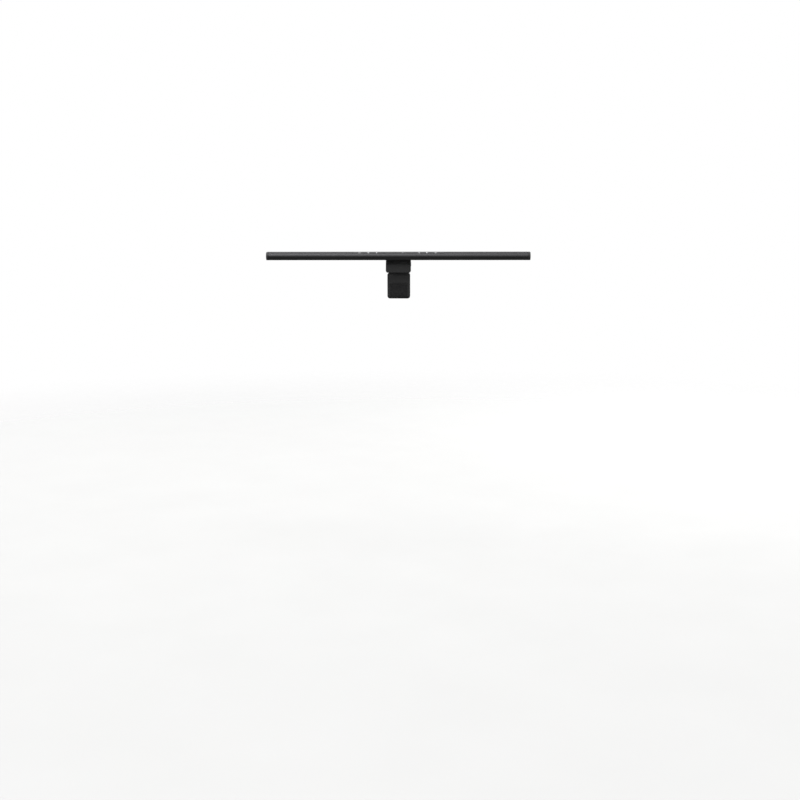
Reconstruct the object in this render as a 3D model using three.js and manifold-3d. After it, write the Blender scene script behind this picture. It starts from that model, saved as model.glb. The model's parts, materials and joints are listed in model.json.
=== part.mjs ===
// Monitor light bar: a 500 mm lamp that hangs on the top edge of a monitor.
// Millimetres. +X runs to the viewer's right, +Y away from the viewer, +Z up.
// The origin is the centre of the face of the seat pad that rests on the monitor's top edge.
//
// Three rigid bodies: the lamp bar tilts on a friction hinge behind it, the clip sits on
// the monitor, and the weighted clamp arm swings behind the monitor on a sprung pin.
import * as THREE from "three";
import { mergeVertices } from "three/addons/utils/BufferGeometryUtils.js";
import Module from "manifold-3d";

const wasm = await Module();
wasm.setup();

// ---- driving dimensions -------------------------------------------------------------

const GAP = 0.3; // clearance kept between neighbouring pieces
const BAR_LENGTH = 500;
const BAR_DEPTH = 28;
const BAR_HEIGHT = 15.5;
const WALL = 1.5; // of the aluminium extrusion
const REAR_RADIUS = 3; // of the extrusion's two rear edges
const CAP_THICKNESS = 4; // of each end cap's flange
const BAR_CLEARANCE = 14.75; // from the monitor's top edge up to the underside of the bar

const SCREEN_Y = -14; // plane of the monitor's front face
const BAR_TO_SCREEN = 4; // from the bar's back forward of that plane
const LEAST_THICKNESS = 18; // of monitor that the arm grips, at its closed stop
const CLIP_WIDTH = 48;
const LIP_DEPTH = 9.8; // that the front lip hangs below the monitor's top edge
const SEAT_HALF_DEPTH = 12;
const BARREL_RADIUS = 4.5; // of every hinge knuckle
const SHAFT_RADIUS = 1.5;
const BORE_RADIUS = 1.9;
const BARREL_SIDES = 36;
const SINK_SIDES = 24; // of every screw's countersink
const ARM_WIDTH = 44;
const ARM_DEPTH = 17.5;
const ARM_BOTTOM_Z = -61;
const PAD_RISE = 3.5; // of the arm's soft pad above the arm

// ---- places that follow from them ---------------------------------------------------

const HALF_LENGTH = BAR_LENGTH / 2;
const HALF_DEPTH = BAR_DEPTH / 2;
const HALF_HEIGHT = BAR_HEIGHT / 2;
const BAR_Z = BAR_CLEARANCE + HALF_HEIGHT;
const BAR_Y = SCREEN_Y - BAR_TO_SCREEN - HALF_DEPTH;
const NOSE_Y = HALF_HEIGHT - HALF_DEPTH; // centre of the round front edge, in the bar's frame
const HOUSING_END = HALF_LENGTH - CAP_THICKNESS - GAP;
const INNARDS_END = HOUSING_END - 6; // where the end caps' plugs stop

const TILT_Y = BAR_Y + HALF_DEPTH + 7.5; // axis of the bar's friction hinge
const TILT_Z = BAR_Z;
const SWING_Y = 20; // axis of the clamp arm's pin
const SWING_Z = 5;
const PAD_Y = SCREEN_Y + LEAST_THICKNESS; // face of the arm's pad at rest
const ARM_FRONT_Y = PAD_Y + PAD_RISE;
const ARM_BACK_Y = ARM_FRONT_Y + ARM_DEPTH;

// ---- solids -------------------------------------------------------------------------

/** A closed three.js geometry as a manifold solid, for cutting and joining. */
function solidOf(geometry) {
  const bare = geometry.index ? geometry.toNonIndexed() : geometry.clone();
  bare.deleteAttribute("normal");
  bare.deleteAttribute("uv");
  const merged = mergeVertices(bare, 1e-4);
  return new wasm.Manifold(
    new wasm.Mesh({
      numProp: 3,
      vertProperties: merged.attributes.position.array,
      triVerts: new Uint32Array(merged.index.array),
    }),
  );
}

/** A manifold solid back as a three.js geometry. */
function geometryOf(solid) {
  const { numVert, numProp, vertProperties, triVerts } = solid.getMesh();
  const positions = new Float32Array(numVert * 3);
  for (let i = 0; i < numVert; i++) {
    positions.set(vertProperties.subarray(i * numProp, i * numProp + 3), i * 3);
  }
  const geometry = new THREE.BufferGeometry();
  geometry.setAttribute("position", new THREE.BufferAttribute(positions, 3));
  geometry.setIndex(new THREE.BufferAttribute(triVerts, 1));
  geometry.computeVertexNormals();
  return geometry;
}

/** A shape drawn in (y, z), run along X from x0 to x1. */
function alongX(shape, x0, x1, segments = 6) {
  const geometry = new THREE.ExtrudeGeometry(shape, {
    depth: x1 - x0,
    bevelEnabled: false,
    curveSegments: segments,
  });
  const turn = new THREE.Matrix4().makeBasis(
    new THREE.Vector3(0, 1, 0),
    new THREE.Vector3(0, 0, 1),
    new THREE.Vector3(1, 0, 0),
  );
  return solidOf(geometry.applyMatrix4(turn).translate(x0, 0, 0));
}

/** A shape drawn in (x, z), run along Y from y0 to y1. */
function alongY(shape, y0, y1, segments = 6) {
  const geometry = new THREE.ExtrudeGeometry(shape, {
    depth: y1 - y0,
    bevelEnabled: false,
    curveSegments: segments,
  });
  return solidOf(geometry.rotateX(Math.PI / 2).translate(0, y1, 0));
}

/** A shape drawn in (x, y), run along Z from z0 to z1. */
function alongZ(shape, z0, z1, segments = 6) {
  const geometry = new THREE.ExtrudeGeometry(shape, {
    depth: z1 - z0,
    bevelEnabled: false,
    curveSegments: segments,
  });
  return solidOf(geometry.translate(0, 0, z0));
}

function block(x0, x1, y0, y1, z0, z1) {
  const geometry = new THREE.BoxGeometry(x1 - x0, y1 - y0, z1 - z0);
  geometry.translate((x0 + x1) / 2, (y0 + y1) / 2, (z0 + z1) / 2);
  return solidOf(geometry);
}

/** A round bar along X, centred on (y, z). */
function rodX(radius, x0, x1, y, z, sides = 20) {
  const geometry = new THREE.CylinderGeometry(radius, radius, x1 - x0, sides);
  geometry.rotateZ(Math.PI / 2).translate((x0 + x1) / 2, y, z);
  return solidOf(geometry);
}

/** A round bar along Y, centred on (x, z). */
function rodY(radius, y0, y1, x, z, sides = 14) {
  const geometry = new THREE.CylinderGeometry(radius, radius, y1 - y0, sides);
  return solidOf(geometry.translate(x, (y0 + y1) / 2, z));
}

/** A round bar along Z, centred on (x, y). */
function rodZ(radius, z0, z1, x, y, sides = 14) {
  const geometry = new THREE.CylinderGeometry(radius, radius, z1 - z0, sides);
  geometry.rotateX(Math.PI / 2).translate(x, y, (z0 + z1) / 2);
  return solidOf(geometry);
}

/** A countersunk or pan screw along -Y from its head's top at y = 0. */
function screwGeometry(headRadius, headHeight, shaftRadius, length) {
  const profile = [
    [0, -length],
    [shaftRadius * 0.6, -length],
    [shaftRadius, -length + shaftRadius],
    [shaftRadius, -headHeight],
    [headRadius, -headHeight * 0.35],
    [headRadius, 0],
    [0, 0],
  ];
  const points = profile.map(([r, y]) => new THREE.Vector2(r, y));
  return new THREE.LatheGeometry(points, 12);
}

// ---- outlines -----------------------------------------------------------------------

function roundedRectangle(x0, x1, y0, y1, radius) {
  const shape = new THREE.Shape();
  shape.moveTo(x0 + radius, y0);
  shape.lineTo(x1 - radius, y0);
  shape.absarc(x1 - radius, y0 + radius, radius, -Math.PI / 2, 0);
  shape.lineTo(x1, y1 - radius);
  shape.absarc(x1 - radius, y1 - radius, radius, 0, Math.PI / 2);
  shape.lineTo(x0 + radius, y1);
  shape.absarc(x0 + radius, y1 - radius, radius, Math.PI / 2, Math.PI);
  shape.lineTo(x0, y0 + radius);
  shape.absarc(x0 + radius, y0 + radius, radius, Math.PI, Math.PI * 1.5);
  return shape;
}

function polygon(points) {
  return new THREE.Shape(points.map(([x, y]) => new THREE.Vector2(x, y)));
}

/** A thin strip of even thickness that follows a smooth line, on its left-hand side. */
function strip(controls, thickness, count) {
  const curve = new THREE.SplineCurve(controls.map(([x, y]) => new THREE.Vector2(x, y)));
  const inner = [];
  const outer = [];
  for (let i = 0; i <= count; i++) {
    const point = curve.getPoint(i / count);
    const along = curve.getTangent(i / count);
    inner.push([point.x, point.y]);
    outer.push([point.x - along.y * thickness, point.y + along.x * thickness]);
  }
  return polygon([...inner, ...outer.reverse()]);
}

/** The bar's cross-section in its own frame: a round nose in front and a square back. */
function barSection(inset) {
  const half = HALF_HEIGHT - inset;
  const rear = HALF_DEPTH - inset;
  const corner = Math.max(REAR_RADIUS - inset, 0.6);
  const shape = new THREE.Shape();
  shape.moveTo(NOSE_Y, -half);
  shape.lineTo(rear - corner, -half);
  shape.absarc(rear - corner, -half + corner, corner, -Math.PI / 2, 0);
  shape.lineTo(rear, half - corner);
  shape.absarc(rear - corner, half - corner, corner, 0, Math.PI / 2);
  shape.lineTo(NOSE_Y, half);
  shape.absarc(NOSE_Y, 0, half, Math.PI / 2, Math.PI * 1.5);
  return shape;
}

/** The band of the bar's skin that the touch panel fills, between two depths. */
function touchBand(outerInset, innerInset, frontAngle, rearY) {
  const outer = HALF_HEIGHT - outerInset;
  const inner = HALF_HEIGHT - innerInset;
  const shape = new THREE.Shape();
  shape.moveTo(rearY, inner);
  shape.lineTo(rearY, outer);
  shape.lineTo(NOSE_Y, outer);
  shape.absarc(NOSE_Y, 0, outer, Math.PI / 2, frontAngle);
  shape.absarc(NOSE_Y, 0, inner, frontAngle, Math.PI / 2, true);
  return shape;
}

// ---- materials ----------------------------------------------------------------------

function material(color, roughness, metalness = 0) {
  return new THREE.MeshStandardMaterial({ color, roughness, metalness });
}

const ANODISED = material(0x2e2e30, 0.42, 0.6);
const BLACK_PLASTIC = material(0x1d1d1f, 0.6);
const GLOSS_PLASTIC = material(0x0c0c0d, 0.15);
const FROSTED = material(0xe9ebe8, 0.5);
const MIRROR = material(0xdfe1e2, 0.15, 0.9);
const WHITE_BOARD = material(0xe6e6e0, 0.5);
const GREEN_BOARD = material(0x1f5a38, 0.5);
const STEEL = material(0xa9abad, 0.35, 1);
const BLACK_STEEL = material(0x2a2a2c, 0.4, 0.9);
const RUBBER = material(0x242426, 0.9);
const ZINC = material(0x8f9295, 0.55, 0.9);
const COPPER_FLEX = material(0xb9722f, 0.5, 0.3);

const bar = new THREE.Group();
bar.position.set(0, BAR_Y, BAR_Z);
const clip = new THREE.Group();
const arm = new THREE.Group();
const part = new THREE.Group();
part.add(bar, clip, arm);

function add(group, name, shape, finish) {
  const geometry = shape.isBufferGeometry ? shape : geometryOf(shape);
  const mesh = new THREE.Mesh(geometry, finish);
  mesh.name = name;
  group.add(mesh);
  return mesh;
}

// ---- lamp bar, in its own frame: the middle of the section is y = 0, z = 0 -----------

const FRONT_PORT = { y: -10.6, z: 0.6, radius: 1.9 }; // screw ports run through the extrusion
const REAR_PORT = { y: 11.1, z: 4.9, radius: 1.7 };
const PORTS = [FRONT_PORT, REAR_PORT];
const PORT_HOLE = 1.05;
const SLOT = { front: -7, rear: 5 }; // the light's opening in the underside
const TOUCH_HALF = 87;
const TOUCH_REAR = 3;
const TOUCH_FRONT_ANGLE = THREE.MathUtils.degToRad(139);
const SENSOR = { y: -2, radius: 1.5 };
const BRACKET_SCREW_X = 28;
const USB = { x: 70, z: -0.45, width: 8.94, height: 3.26, front: 8, rear: 13.7 };

function stadium(width, height, x, z) {
  return roundedRectangle(
    x - width / 2,
    x + width / 2,
    z - height / 2,
    z + height / 2,
    height / 2 - 0.01,
  );
}

function makeHousing() {
  const end = HOUSING_END;
  let housing = alongX(barSection(0), -end, end, 12);
  housing = housing.subtract(alongX(barSection(WALL), -end - 1, end + 1, 12));
  for (const port of PORTS) {
    const boss = rodX(port.radius, -end, end, port.y, port.z, 14);
    const hole = rodX(PORT_HOLE, -end - 1, end + 1, port.y, port.z, 8);
    housing = housing.add(boss).subtract(hole);
  }
  const slot = block(-end - 1, end + 1, SLOT.front, SLOT.rear, -9, -5);
  const angle = TOUCH_FRONT_ANGLE + GAP / HALF_HEIGHT;
  const touch = touchBand(-1, WALL + 0.4, angle, TOUCH_REAR + GAP);
  housing = housing
    .subtract(slot)
    .subtract(alongX(touch, -TOUCH_HALF - GAP, TOUCH_HALF + GAP, 8));
  for (const x of [-BRACKET_SCREW_X, BRACKET_SCREW_X]) {
    housing = housing.subtract(rodY(1.35, 11, 16, x, 0));
  }
  const port = stadium(USB.width + 0.7, USB.height + 0.7, USB.x, USB.z);
  return housing.subtract(alongY(port, 11, 16, 4));
}

function makeEndCap(side) {
  const outer = HALF_LENGTH;
  const seat = HOUSING_END + GAP;
  let cap = alongX(barSection(0), seat, outer, 12);
  let plug = alongX(barSection(WALL + 0.35), INNARDS_END + 0.4, seat + 0.5, 12);
  for (const port of PORTS) {
    plug = plug.subtract(rodX(port.radius + 0.4, 0, seat, port.y, port.z, 14));
  }
  const key = block(
    INNARDS_END + 0.4,
    seat + 0.5,
    SLOT.front + 0.4,
    SLOT.rear - 0.4,
    -HALF_HEIGHT + 0.4,
    -4,
  );
  cap = cap.add(plug).add(key);
  for (const port of PORTS) {
    cap = cap
      .subtract(rodX(PORT_HOLE, 0, outer + 1, port.y, port.z, 10))
      .subtract(rodX(2, outer - 1.1, outer + 1, port.y, port.z, 14));
  }
  return side < 0 ? cap.mirror([1, 0, 0]) : cap;
}

function addCapScrew(side, label, port) {
  const mesh = add(bar, label, screwGeometry(1.65, 0.9, 0.7, 9), BLACK_STEEL);
  mesh.rotation.z = (-side * Math.PI) / 2;
  mesh.position.set(side * (HALF_LENGTH - 0.15), port.y, port.z);
}

function makeDiffuser() {
  const shape = polygon([
    [SLOT.front + GAP, -7.35],
    [SLOT.rear - GAP, -7.35],
    [SLOT.rear - GAP, -5.85],
    [SLOT.rear + 0.7, -5.85],
    [SLOT.rear + 0.7, -4.95],
    [SLOT.front - 0.7, -4.95],
    [SLOT.front - 0.7, -5.85],
    [SLOT.front + GAP, -5.85],
  ]);
  return alongX(shape, -INNARDS_END, INNARDS_END);
}

function makeReflector() {
  const curve = [
    [5.4, 4],
    [1, 3.5],
    [-3.2, 2.4],
    [-6.6, 0.4],
    [-8.6, -2.2],
    [-9.2, -4.5],
  ];
  const thickness = -0.6; // to the outer side of the curve
  return alongX(strip(curve, thickness, 12), -INNARDS_END, INNARDS_END);
}

function makeLedBoard() {
  const ledCount = 36;
  const pitch = (2 * INNARDS_END - 12) / (ledCount - 1);
  let board = block(-INNARDS_END, INNARDS_END, 6.1, 7.1, -4.6, 3.6);
  const leds = [];
  for (let i = 0; i < ledCount; i++) {
    const x = (i - (ledCount - 1) / 2) * pitch;
    leds.push(block(x - 1.75, x + 1.75, 5.45, 6.2, -1.9, 0.9));
  }
  return board.add(wasm.Manifold.union(leds));
}

function makeTouchPanel() {
  const shape = touchBand(0, 1, TOUCH_FRONT_ANGLE, TOUCH_REAR);
  const panel = alongX(shape, -TOUCH_HALF, TOUCH_HALF, 8);
  return panel.subtract(rodZ(SENSOR.radius + 0.35, 5, 9, 0, SENSOR.y));
}

function makeDriverBoard() {
  let board = block(36, 120, 7.7, 12.1, -3.4, -2.4);
  const components = [
    [86, 92, 8.2, 11.8, 1.4], // inductor
    [96, 98.4, 8.4, 11.6, -0.6], // driver chip
    [101, 104, 8.6, 11.4, 0.4], // capacitor
    [106, 109, 8.6, 11.4, 0.4],
    [44, 48, 8.4, 11.4, -1.2], // flex connector's neighbour, the touch chip
    [112, 116, 8.8, 11.6, -0.4],
  ];
  for (const [x0, x1, y0, y1, top] of components) {
    board = board.add(block(x0, x1, y0, y1, -2.5, top));
  }
  return board;
}

function makeUsbShell() {
  const outer = alongY(stadium(USB.width, USB.height, USB.x, USB.z), USB.front, USB.rear, 4);
  const mouth = stadium(USB.width - 0.8, USB.height - 0.8, USB.x, USB.z);
  return outer.subtract(alongY(mouth, USB.front + 0.5, USB.rear + 1, 4));
}

function makeFlexCable() {
  const line = [
    [3.3, 5.45],
    [6.4, 5.4],
    [8.5, 4.8],
    [8.7, 2],
    [8.7, -2],
  ];
  return alongX(strip(line, -0.25, 8), 50, 58);
}

function makeLedLead() {
  const line = new THREE.CatmullRomCurve3([
    new THREE.Vector3(38, 7.8, 2),
    new THREE.Vector3(38.6, 8.6, 2.2),
    new THREE.Vector3(40, 9.6, 1),
    new THREE.Vector3(40.4, 9.8, -0.6),
    new THREE.Vector3(40.4, 9.8, -2),
  ]);
  const section = new THREE.Shape().absarc(0, 0, 0.5, 0, Math.PI * 2);
  return new THREE.ExtrudeGeometry(section, {
    extrudePath: line,
    steps: 8,
    curveSegments: 8,
    bevelEnabled: false,
  });
}

function addLampHead() {
  add(bar, "bar_housing", makeHousing(), ANODISED);
  for (const [side, word] of [[-1, "left"], [1, "right"]]) {
    add(bar, `${word}_end_cap`, makeEndCap(side), BLACK_PLASTIC);
    addCapScrew(side, `${word}_cap_screw_front`, FRONT_PORT);
    addCapScrew(side, `${word}_cap_screw_rear`, REAR_PORT);
  }
  add(bar, "diffuser_lens", makeDiffuser(), FROSTED);
  add(bar, "light_reflector", makeReflector(), MIRROR);
  add(bar, "led_strip_board", makeLedBoard(), WHITE_BOARD);
  add(bar, "touch_panel", makeTouchPanel(), GLOSS_PLASTIC);
  add(bar, "touch_sensor_board", block(-84, 84, -5.5, 2.9, 5.1, 5.9), GREEN_BOARD);
  const window = rodZ(SENSOR.radius, 6.25, HALF_HEIGHT, 0, SENSOR.y);
  add(bar, "ambient_light_window", window, GLOSS_PLASTIC);
  add(bar, "driver_board", makeDriverBoard(), GREEN_BOARD);
  add(bar, "usb_c_port_shell", makeUsbShell(), STEEL);
  const tongue = block(USB.x - 3.3, USB.x + 3.3, 8.9, 13, USB.z - 0.35, USB.z + 0.35);
  add(bar, "usb_c_port_tongue", tongue, BLACK_PLASTIC);
  add(bar, "touch_flex_cable", makeFlexCable(), COPPER_FLEX);
  add(bar, "led_lead_wire", makeLedLead(), RUBBER);
}

// ---- friction hinge between the bar and the clip -------------------------------------

const EAR = { inner: 13.2, outer: 22.2 }; // the bar's two knuckles, along X
const NECK_HALF = 12; // half the width of the clip's knuckle
const PLATE = { half: 34, rise: 5.5, thickness: 1.4 };

function makeHingeBracket() {
  const front = BAR_Y + HALF_DEPTH + GAP;
  const back = front + PLATE.thickness;
  const outline = roundedRectangle(
    -PLATE.half,
    PLATE.half,
    TILT_Z - PLATE.rise,
    TILT_Z + PLATE.rise,
    3.5,
  );
  let bracket = alongY(outline, front, back, 4);
  for (const side of [-1, 1]) {
    const x0 = side < 0 ? -EAR.outer : EAR.inner;
    const x1 = side < 0 ? -EAR.inner : EAR.outer;
    const web = block(x0, x1, back - 0.5, TILT_Y, TILT_Z - 4, TILT_Z + 4);
    const knuckle = rodX(BARREL_RADIUS, x0, x1, TILT_Y, TILT_Z, BARREL_SIDES);
    bracket = bracket
      .add(web.add(knuckle))
      .subtract(rodX(BORE_RADIUS, x0 - 1, x1 + 1, TILT_Y, TILT_Z, 16))
      .subtract(rodY(1.35, front - 1, back + 1, side * BRACKET_SCREW_X, TILT_Z));
  }
  return bracket;
}

function makeNutPlate() {
  const y0 = BAR_Y + 9.7;
  const y1 = BAR_Y + HALF_DEPTH - WALL - GAP;
  let plate = block(-33, 33, y0, y1, BAR_Z - 2.8, BAR_Z + 2.8);
  for (const x of [-BRACKET_SCREW_X, BRACKET_SCREW_X]) {
    plate = plate.subtract(rodY(1.35, y0 - 1, y1 + 1, x, BAR_Z));
  }
  return plate;
}

function addTiltHinge() {
  const turned = new THREE.Group();
  turned.position.set(0, -BAR_Y, -BAR_Z); // these pieces are drawn in the part's frame
  bar.add(turned);
  add(turned, "tilt_hinge_bracket", makeHingeBracket(), BLACK_STEEL);
  add(turned, "bracket_nut_plate", makeNutPlate(), STEEL);
  const plateBack = BAR_Y + HALF_DEPTH + GAP + PLATE.thickness;
  for (const [side, word] of [[-1, "left"], [1, "right"]]) {
    const screw = screwGeometry(2, 1.2, 0.95, 6.6);
    const mesh = add(turned, `bracket_screw_${word}`, screw, STEEL);
    mesh.position.set(side * BRACKET_SCREW_X, plateBack + GAP + 1.2, TILT_Z);
    const x0 = side < 0 ? -CLIP_WIDTH / 2 : EAR.outer + GAP;
    const x1 = side < 0 ? -EAR.outer - GAP : CLIP_WIDTH / 2;
    const cap = rodX(BARREL_RADIUS - 0.2, x0, x1, TILT_Y, TILT_Z, BARREL_SIDES);
    add(turned, `${word}_hinge_cap`, cap, BLACK_PLASTIC);
  }
  const reach = EAR.outer - 0.2;
  add(turned, "tilt_shaft", rodX(SHAFT_RADIUS, -reach, reach, TILT_Y, TILT_Z, 14), STEEL);
}

function addFrictionWashers() {
  const thickness = EAR.inner - NECK_HALF - 2 * GAP;
  for (const [side, word] of [[-1, "left"], [1, "right"]]) {
    const x0 = side < 0 ? -NECK_HALF - GAP - thickness : NECK_HALF + GAP;
    const disc = rodX(4.2, x0, x0 + thickness, TILT_Y, TILT_Z);
    const hole = rodX(BORE_RADIUS, x0 - 1, x0 + thickness + 1, TILT_Y, TILT_Z, 16);
    add(clip, `tilt_washer_${word}`, disc.subtract(hole), STEEL);
  }
}

// ---- clip ---------------------------------------------------------------------------

const SEAM_Z = 5; // where the clip's two shells meet
const FLOOR_Z = 1.9; // underside of the bridge
const BRIDGE_TOP_Z = 9.5;
const BRIDGE_REAR_Y = SWING_Y - BARREL_RADIUS - 0.6;
const LIP_FRONT_Y = SCREEN_Y - 4.6;
const LIP_BACK_Y = SCREEN_Y - 1.6;
const NECK = { front: TILT_Y - 2.7, back: TILT_Y + 2.7 };
const CORE = { half: 11, front: NECK.front + 7.6, back: BRIDGE_REAR_Y - 4.3, top: 6.3 };
const CLIP_SCREW = { x: 16, y: 4, hole: 1.3, sink: 2.4, sinkTop: 3.4 };
const PIN_EAR = { inner: 14, outer: 22 };
const SPRING = { x: 5, radius: 2.9, wire: 0.4, turns: 6 };

function makeUpperShell() {
  const half = CLIP_WIDTH / 2;
  const seam = SEAM_Z + GAP / 2;
  const profile = new THREE.Shape();
  profile.moveTo(LIP_FRONT_Y + 0.4, seam);
  profile.bezierCurveTo(-17.6, 9.2, -13.9, 10.4, NECK.front - 0.4, BAR_CLEARANCE);
  profile.lineTo(NECK.back + 0.4, BAR_CLEARANCE);
  profile.bezierCurveTo(-7, 11, -4, 9.9, 3, BRIDGE_TOP_Z + 0.1);
  profile.lineTo(BRIDGE_REAR_Y - 1, BRIDGE_TOP_Z);
  profile.lineTo(BRIDGE_REAR_Y, BRIDGE_TOP_Z - 0.9);
  profile.lineTo(BRIDGE_REAR_Y, seam);
  const neck = block(-NECK_HALF, NECK_HALF, NECK.front, NECK.back, BAR_CLEARANCE - 1, TILT_Z);
  const barrel = rodX(BARREL_RADIUS, -NECK_HALF, NECK_HALF, TILT_Y, TILT_Z, BARREL_SIDES);
  const pocket = block(
    -CORE.half - 0.4,
    CORE.half + 0.4,
    CORE.front - 0.4,
    CORE.back + 0.4,
    SEAM_Z - 1,
    CORE.top + 0.6,
  );
  const legSlot = block(SPRING.x - 1.2, SPRING.x + 1.2, 5, SWING_Y, SEAM_Z - 1, 8.3);
  let shell = alongX(profile, -half, half, 8)
    .add(neck)
    .add(barrel)
    .subtract(rodX(BORE_RADIUS, -half, half, TILT_Y, TILT_Z, 16))
    .subtract(pocket)
    .subtract(legSlot);
  for (const side of [-1, 1]) {
    const hole = rodZ(CLIP_SCREW.hole, 4, 7.8, side * CLIP_SCREW.x, CLIP_SCREW.y, 10);
    shell = shell.subtract(hole);
  }
  return shell;
}

function makeLowerShell() {
  const half = CLIP_WIDTH / 2;
  const seam = SEAM_Z - GAP / 2;
  const profile = new THREE.Shape();
  profile.moveTo(LIP_BACK_Y, FLOOR_Z);
  profile.lineTo(LIP_BACK_Y, -LIP_DEPTH + 0.8);
  profile.lineTo(LIP_BACK_Y - 0.8, -LIP_DEPTH);
  profile.lineTo(LIP_FRONT_Y + 1, -LIP_DEPTH);
  profile.quadraticCurveTo(LIP_FRONT_Y, -LIP_DEPTH, LIP_FRONT_Y, -LIP_DEPTH + 1.6);
  profile.lineTo(LIP_FRONT_Y, 1);
  profile.lineTo(LIP_FRONT_Y + 0.4, seam);
  profile.lineTo(BRIDGE_REAR_Y, seam);
  profile.lineTo(BRIDGE_REAR_Y, FLOOR_Z);
  const outline = roundedRectangle(-half, half, -LIP_DEPTH, 40, 4);
  const notch = block(
    -PIN_EAR.inner - 0.2,
    PIN_EAR.inner + 0.2,
    BRIDGE_REAR_Y - 1.5,
    SWING_Y,
    0,
    6,
  );
  let shell = alongX(profile, -half, half, 5)
    .intersect(alongY(outline, LIP_FRONT_Y - 1, SWING_Y, 5))
    .subtract(notch);
  for (const side of [-1, 1]) {
    const x0 = side < 0 ? -PIN_EAR.outer : PIN_EAR.inner;
    const x1 = side < 0 ? -PIN_EAR.inner : PIN_EAR.outer;
    const web = block(x0, x1, BRIDGE_REAR_Y - 5, SWING_Y, FLOOR_Z, seam);
    const knuckle = rodX(BARREL_RADIUS, x0, x1, SWING_Y, SWING_Z, BARREL_SIDES);
    const x = side * CLIP_SCREW.x;
    shell = shell
      .add(web.add(knuckle))
      .subtract(rodX(BORE_RADIUS, x0 - 1, x1 + 1, SWING_Y, SWING_Z, 16))
      .subtract(rodZ(CLIP_SCREW.hole, 1, 6, x, CLIP_SCREW.y, 10))
      .subtract(rodZ(CLIP_SCREW.sink, 1, CLIP_SCREW.sinkTop, x, CLIP_SCREW.y, SINK_SIDES));
  }
  return shell;
}

/** Torsion spring on the arm's pin: one leg lies in the clip, the other in the arm. */
function makeSpring() {
  const perTurn = 12;
  const steps = SPRING.turns * perTurn - perTurn / 4; // it ends on the pin's front side
  const top = SWING_Z + SPRING.radius;
  const front = SWING_Y - SPRING.radius;
  const points = [
    new THREE.Vector3(SPRING.x, SWING_Y - 13, top - 1),
    new THREE.Vector3(SPRING.x, SWING_Y - 8, top - 0.6),
    new THREE.Vector3(SPRING.x, SWING_Y - 3, top - 0.15),
  ];
  for (let i = 0; i <= steps; i++) {
    const angle = Math.PI / 2 - (i / perTurn) * Math.PI * 2;
    const x = SPRING.x * (1 - (2 * i) / steps);
    const y = SWING_Y + SPRING.radius * Math.cos(angle);
    const z = SWING_Z + SPRING.radius * Math.sin(angle);
    points.push(new THREE.Vector3(x, y, z));
  }
  points.push(new THREE.Vector3(-SPRING.x, front + 0.1, SWING_Z - 3));
  points.push(new THREE.Vector3(-SPRING.x, front + 0.2, SWING_Z - 10));
  const section = new THREE.Shape().absarc(0, 0, SPRING.wire, 0, Math.PI * 2);
  return new THREE.ExtrudeGeometry(section, {
    extrudePath: new THREE.CatmullRomCurve3(points, false, "centripetal"),
    steps: 84,
    curveSegments: 3,
    bevelEnabled: false,
  });
}

function addClip() {
  add(clip, "clip_upper_shell", makeUpperShell(), BLACK_PLASTIC);
  add(clip, "clip_lower_shell", makeLowerShell(), BLACK_PLASTIC);
  const coreFloor = SEAM_Z + GAP / 2;
  const core = block(-CORE.half, CORE.half, CORE.front, CORE.back, coreFloor, CORE.top);
  add(clip, "clip_core_plate", core, STEEL);
  for (const [side, word] of [[-1, "left"], [1, "right"]]) {
    const mesh = add(clip, `clip_screw_${word}`, screwGeometry(2, 1.1, 0.95, 5), STEEL);
    mesh.rotation.x = -Math.PI / 2;
    mesh.position.set(side * CLIP_SCREW.x, CLIP_SCREW.y, FLOOR_Z + GAP);
    const x0 = side < 0 ? -PIN_EAR.outer - 1.5 : PIN_EAR.outer + GAP;
    const disc = rodX(3.6, x0, x0 + 1.2, SWING_Y, SWING_Z);
    add(clip, `${word}_pin_cap`, disc, BLACK_PLASTIC);
  }
  const seatShape = roundedRectangle(-18, 18, -SEAT_HALF_DEPTH, SEAT_HALF_DEPTH, 2.5);
  add(clip, "seat_pad", alongZ(seatShape, 0, FLOOR_Z - GAP, 4), RUBBER);
  const lipShape = roundedRectangle(-19, 19, -8.6, -0.6, 2);
  add(clip, "lip_pad", alongY(lipShape, LIP_BACK_Y + GAP, SCREEN_Y, 4), RUBBER);
  const reach = PIN_EAR.outer - 0.3;
  add(clip, "arm_hinge_pin", rodX(SHAFT_RADIUS, -reach, reach, SWING_Y, SWING_Z, 14), STEEL);
  add(clip, "arm_return_spring", makeSpring(), STEEL);
}

// ---- clamp arm ----------------------------------------------------------------------

const ARM_SEAM_Y = ARM_FRONT_Y + 8;
const COVER_TOP_Z = -13;
const ARM_NECK_HALF = PIN_EAR.inner - GAP;
const CAVITY = { half: 19.6, front: ARM_FRONT_Y + 2.1, back: ARM_BACK_Y - 2.2, floor: -58.4, top: -16 };
const ARM_SCREW = { x: 16.5, upper: -19.5, lower: -55, boss: 2.7, hole: 1.3, sink: 2.4 };
const ARM_SCREWS = [
  ["top_left", -ARM_SCREW.x, ARM_SCREW.upper],
  ["top_right", ARM_SCREW.x, ARM_SCREW.upper],
  ["bottom_left", -ARM_SCREW.x, ARM_SCREW.lower],
  ["bottom_right", ARM_SCREW.x, ARM_SCREW.lower],
];

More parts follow.
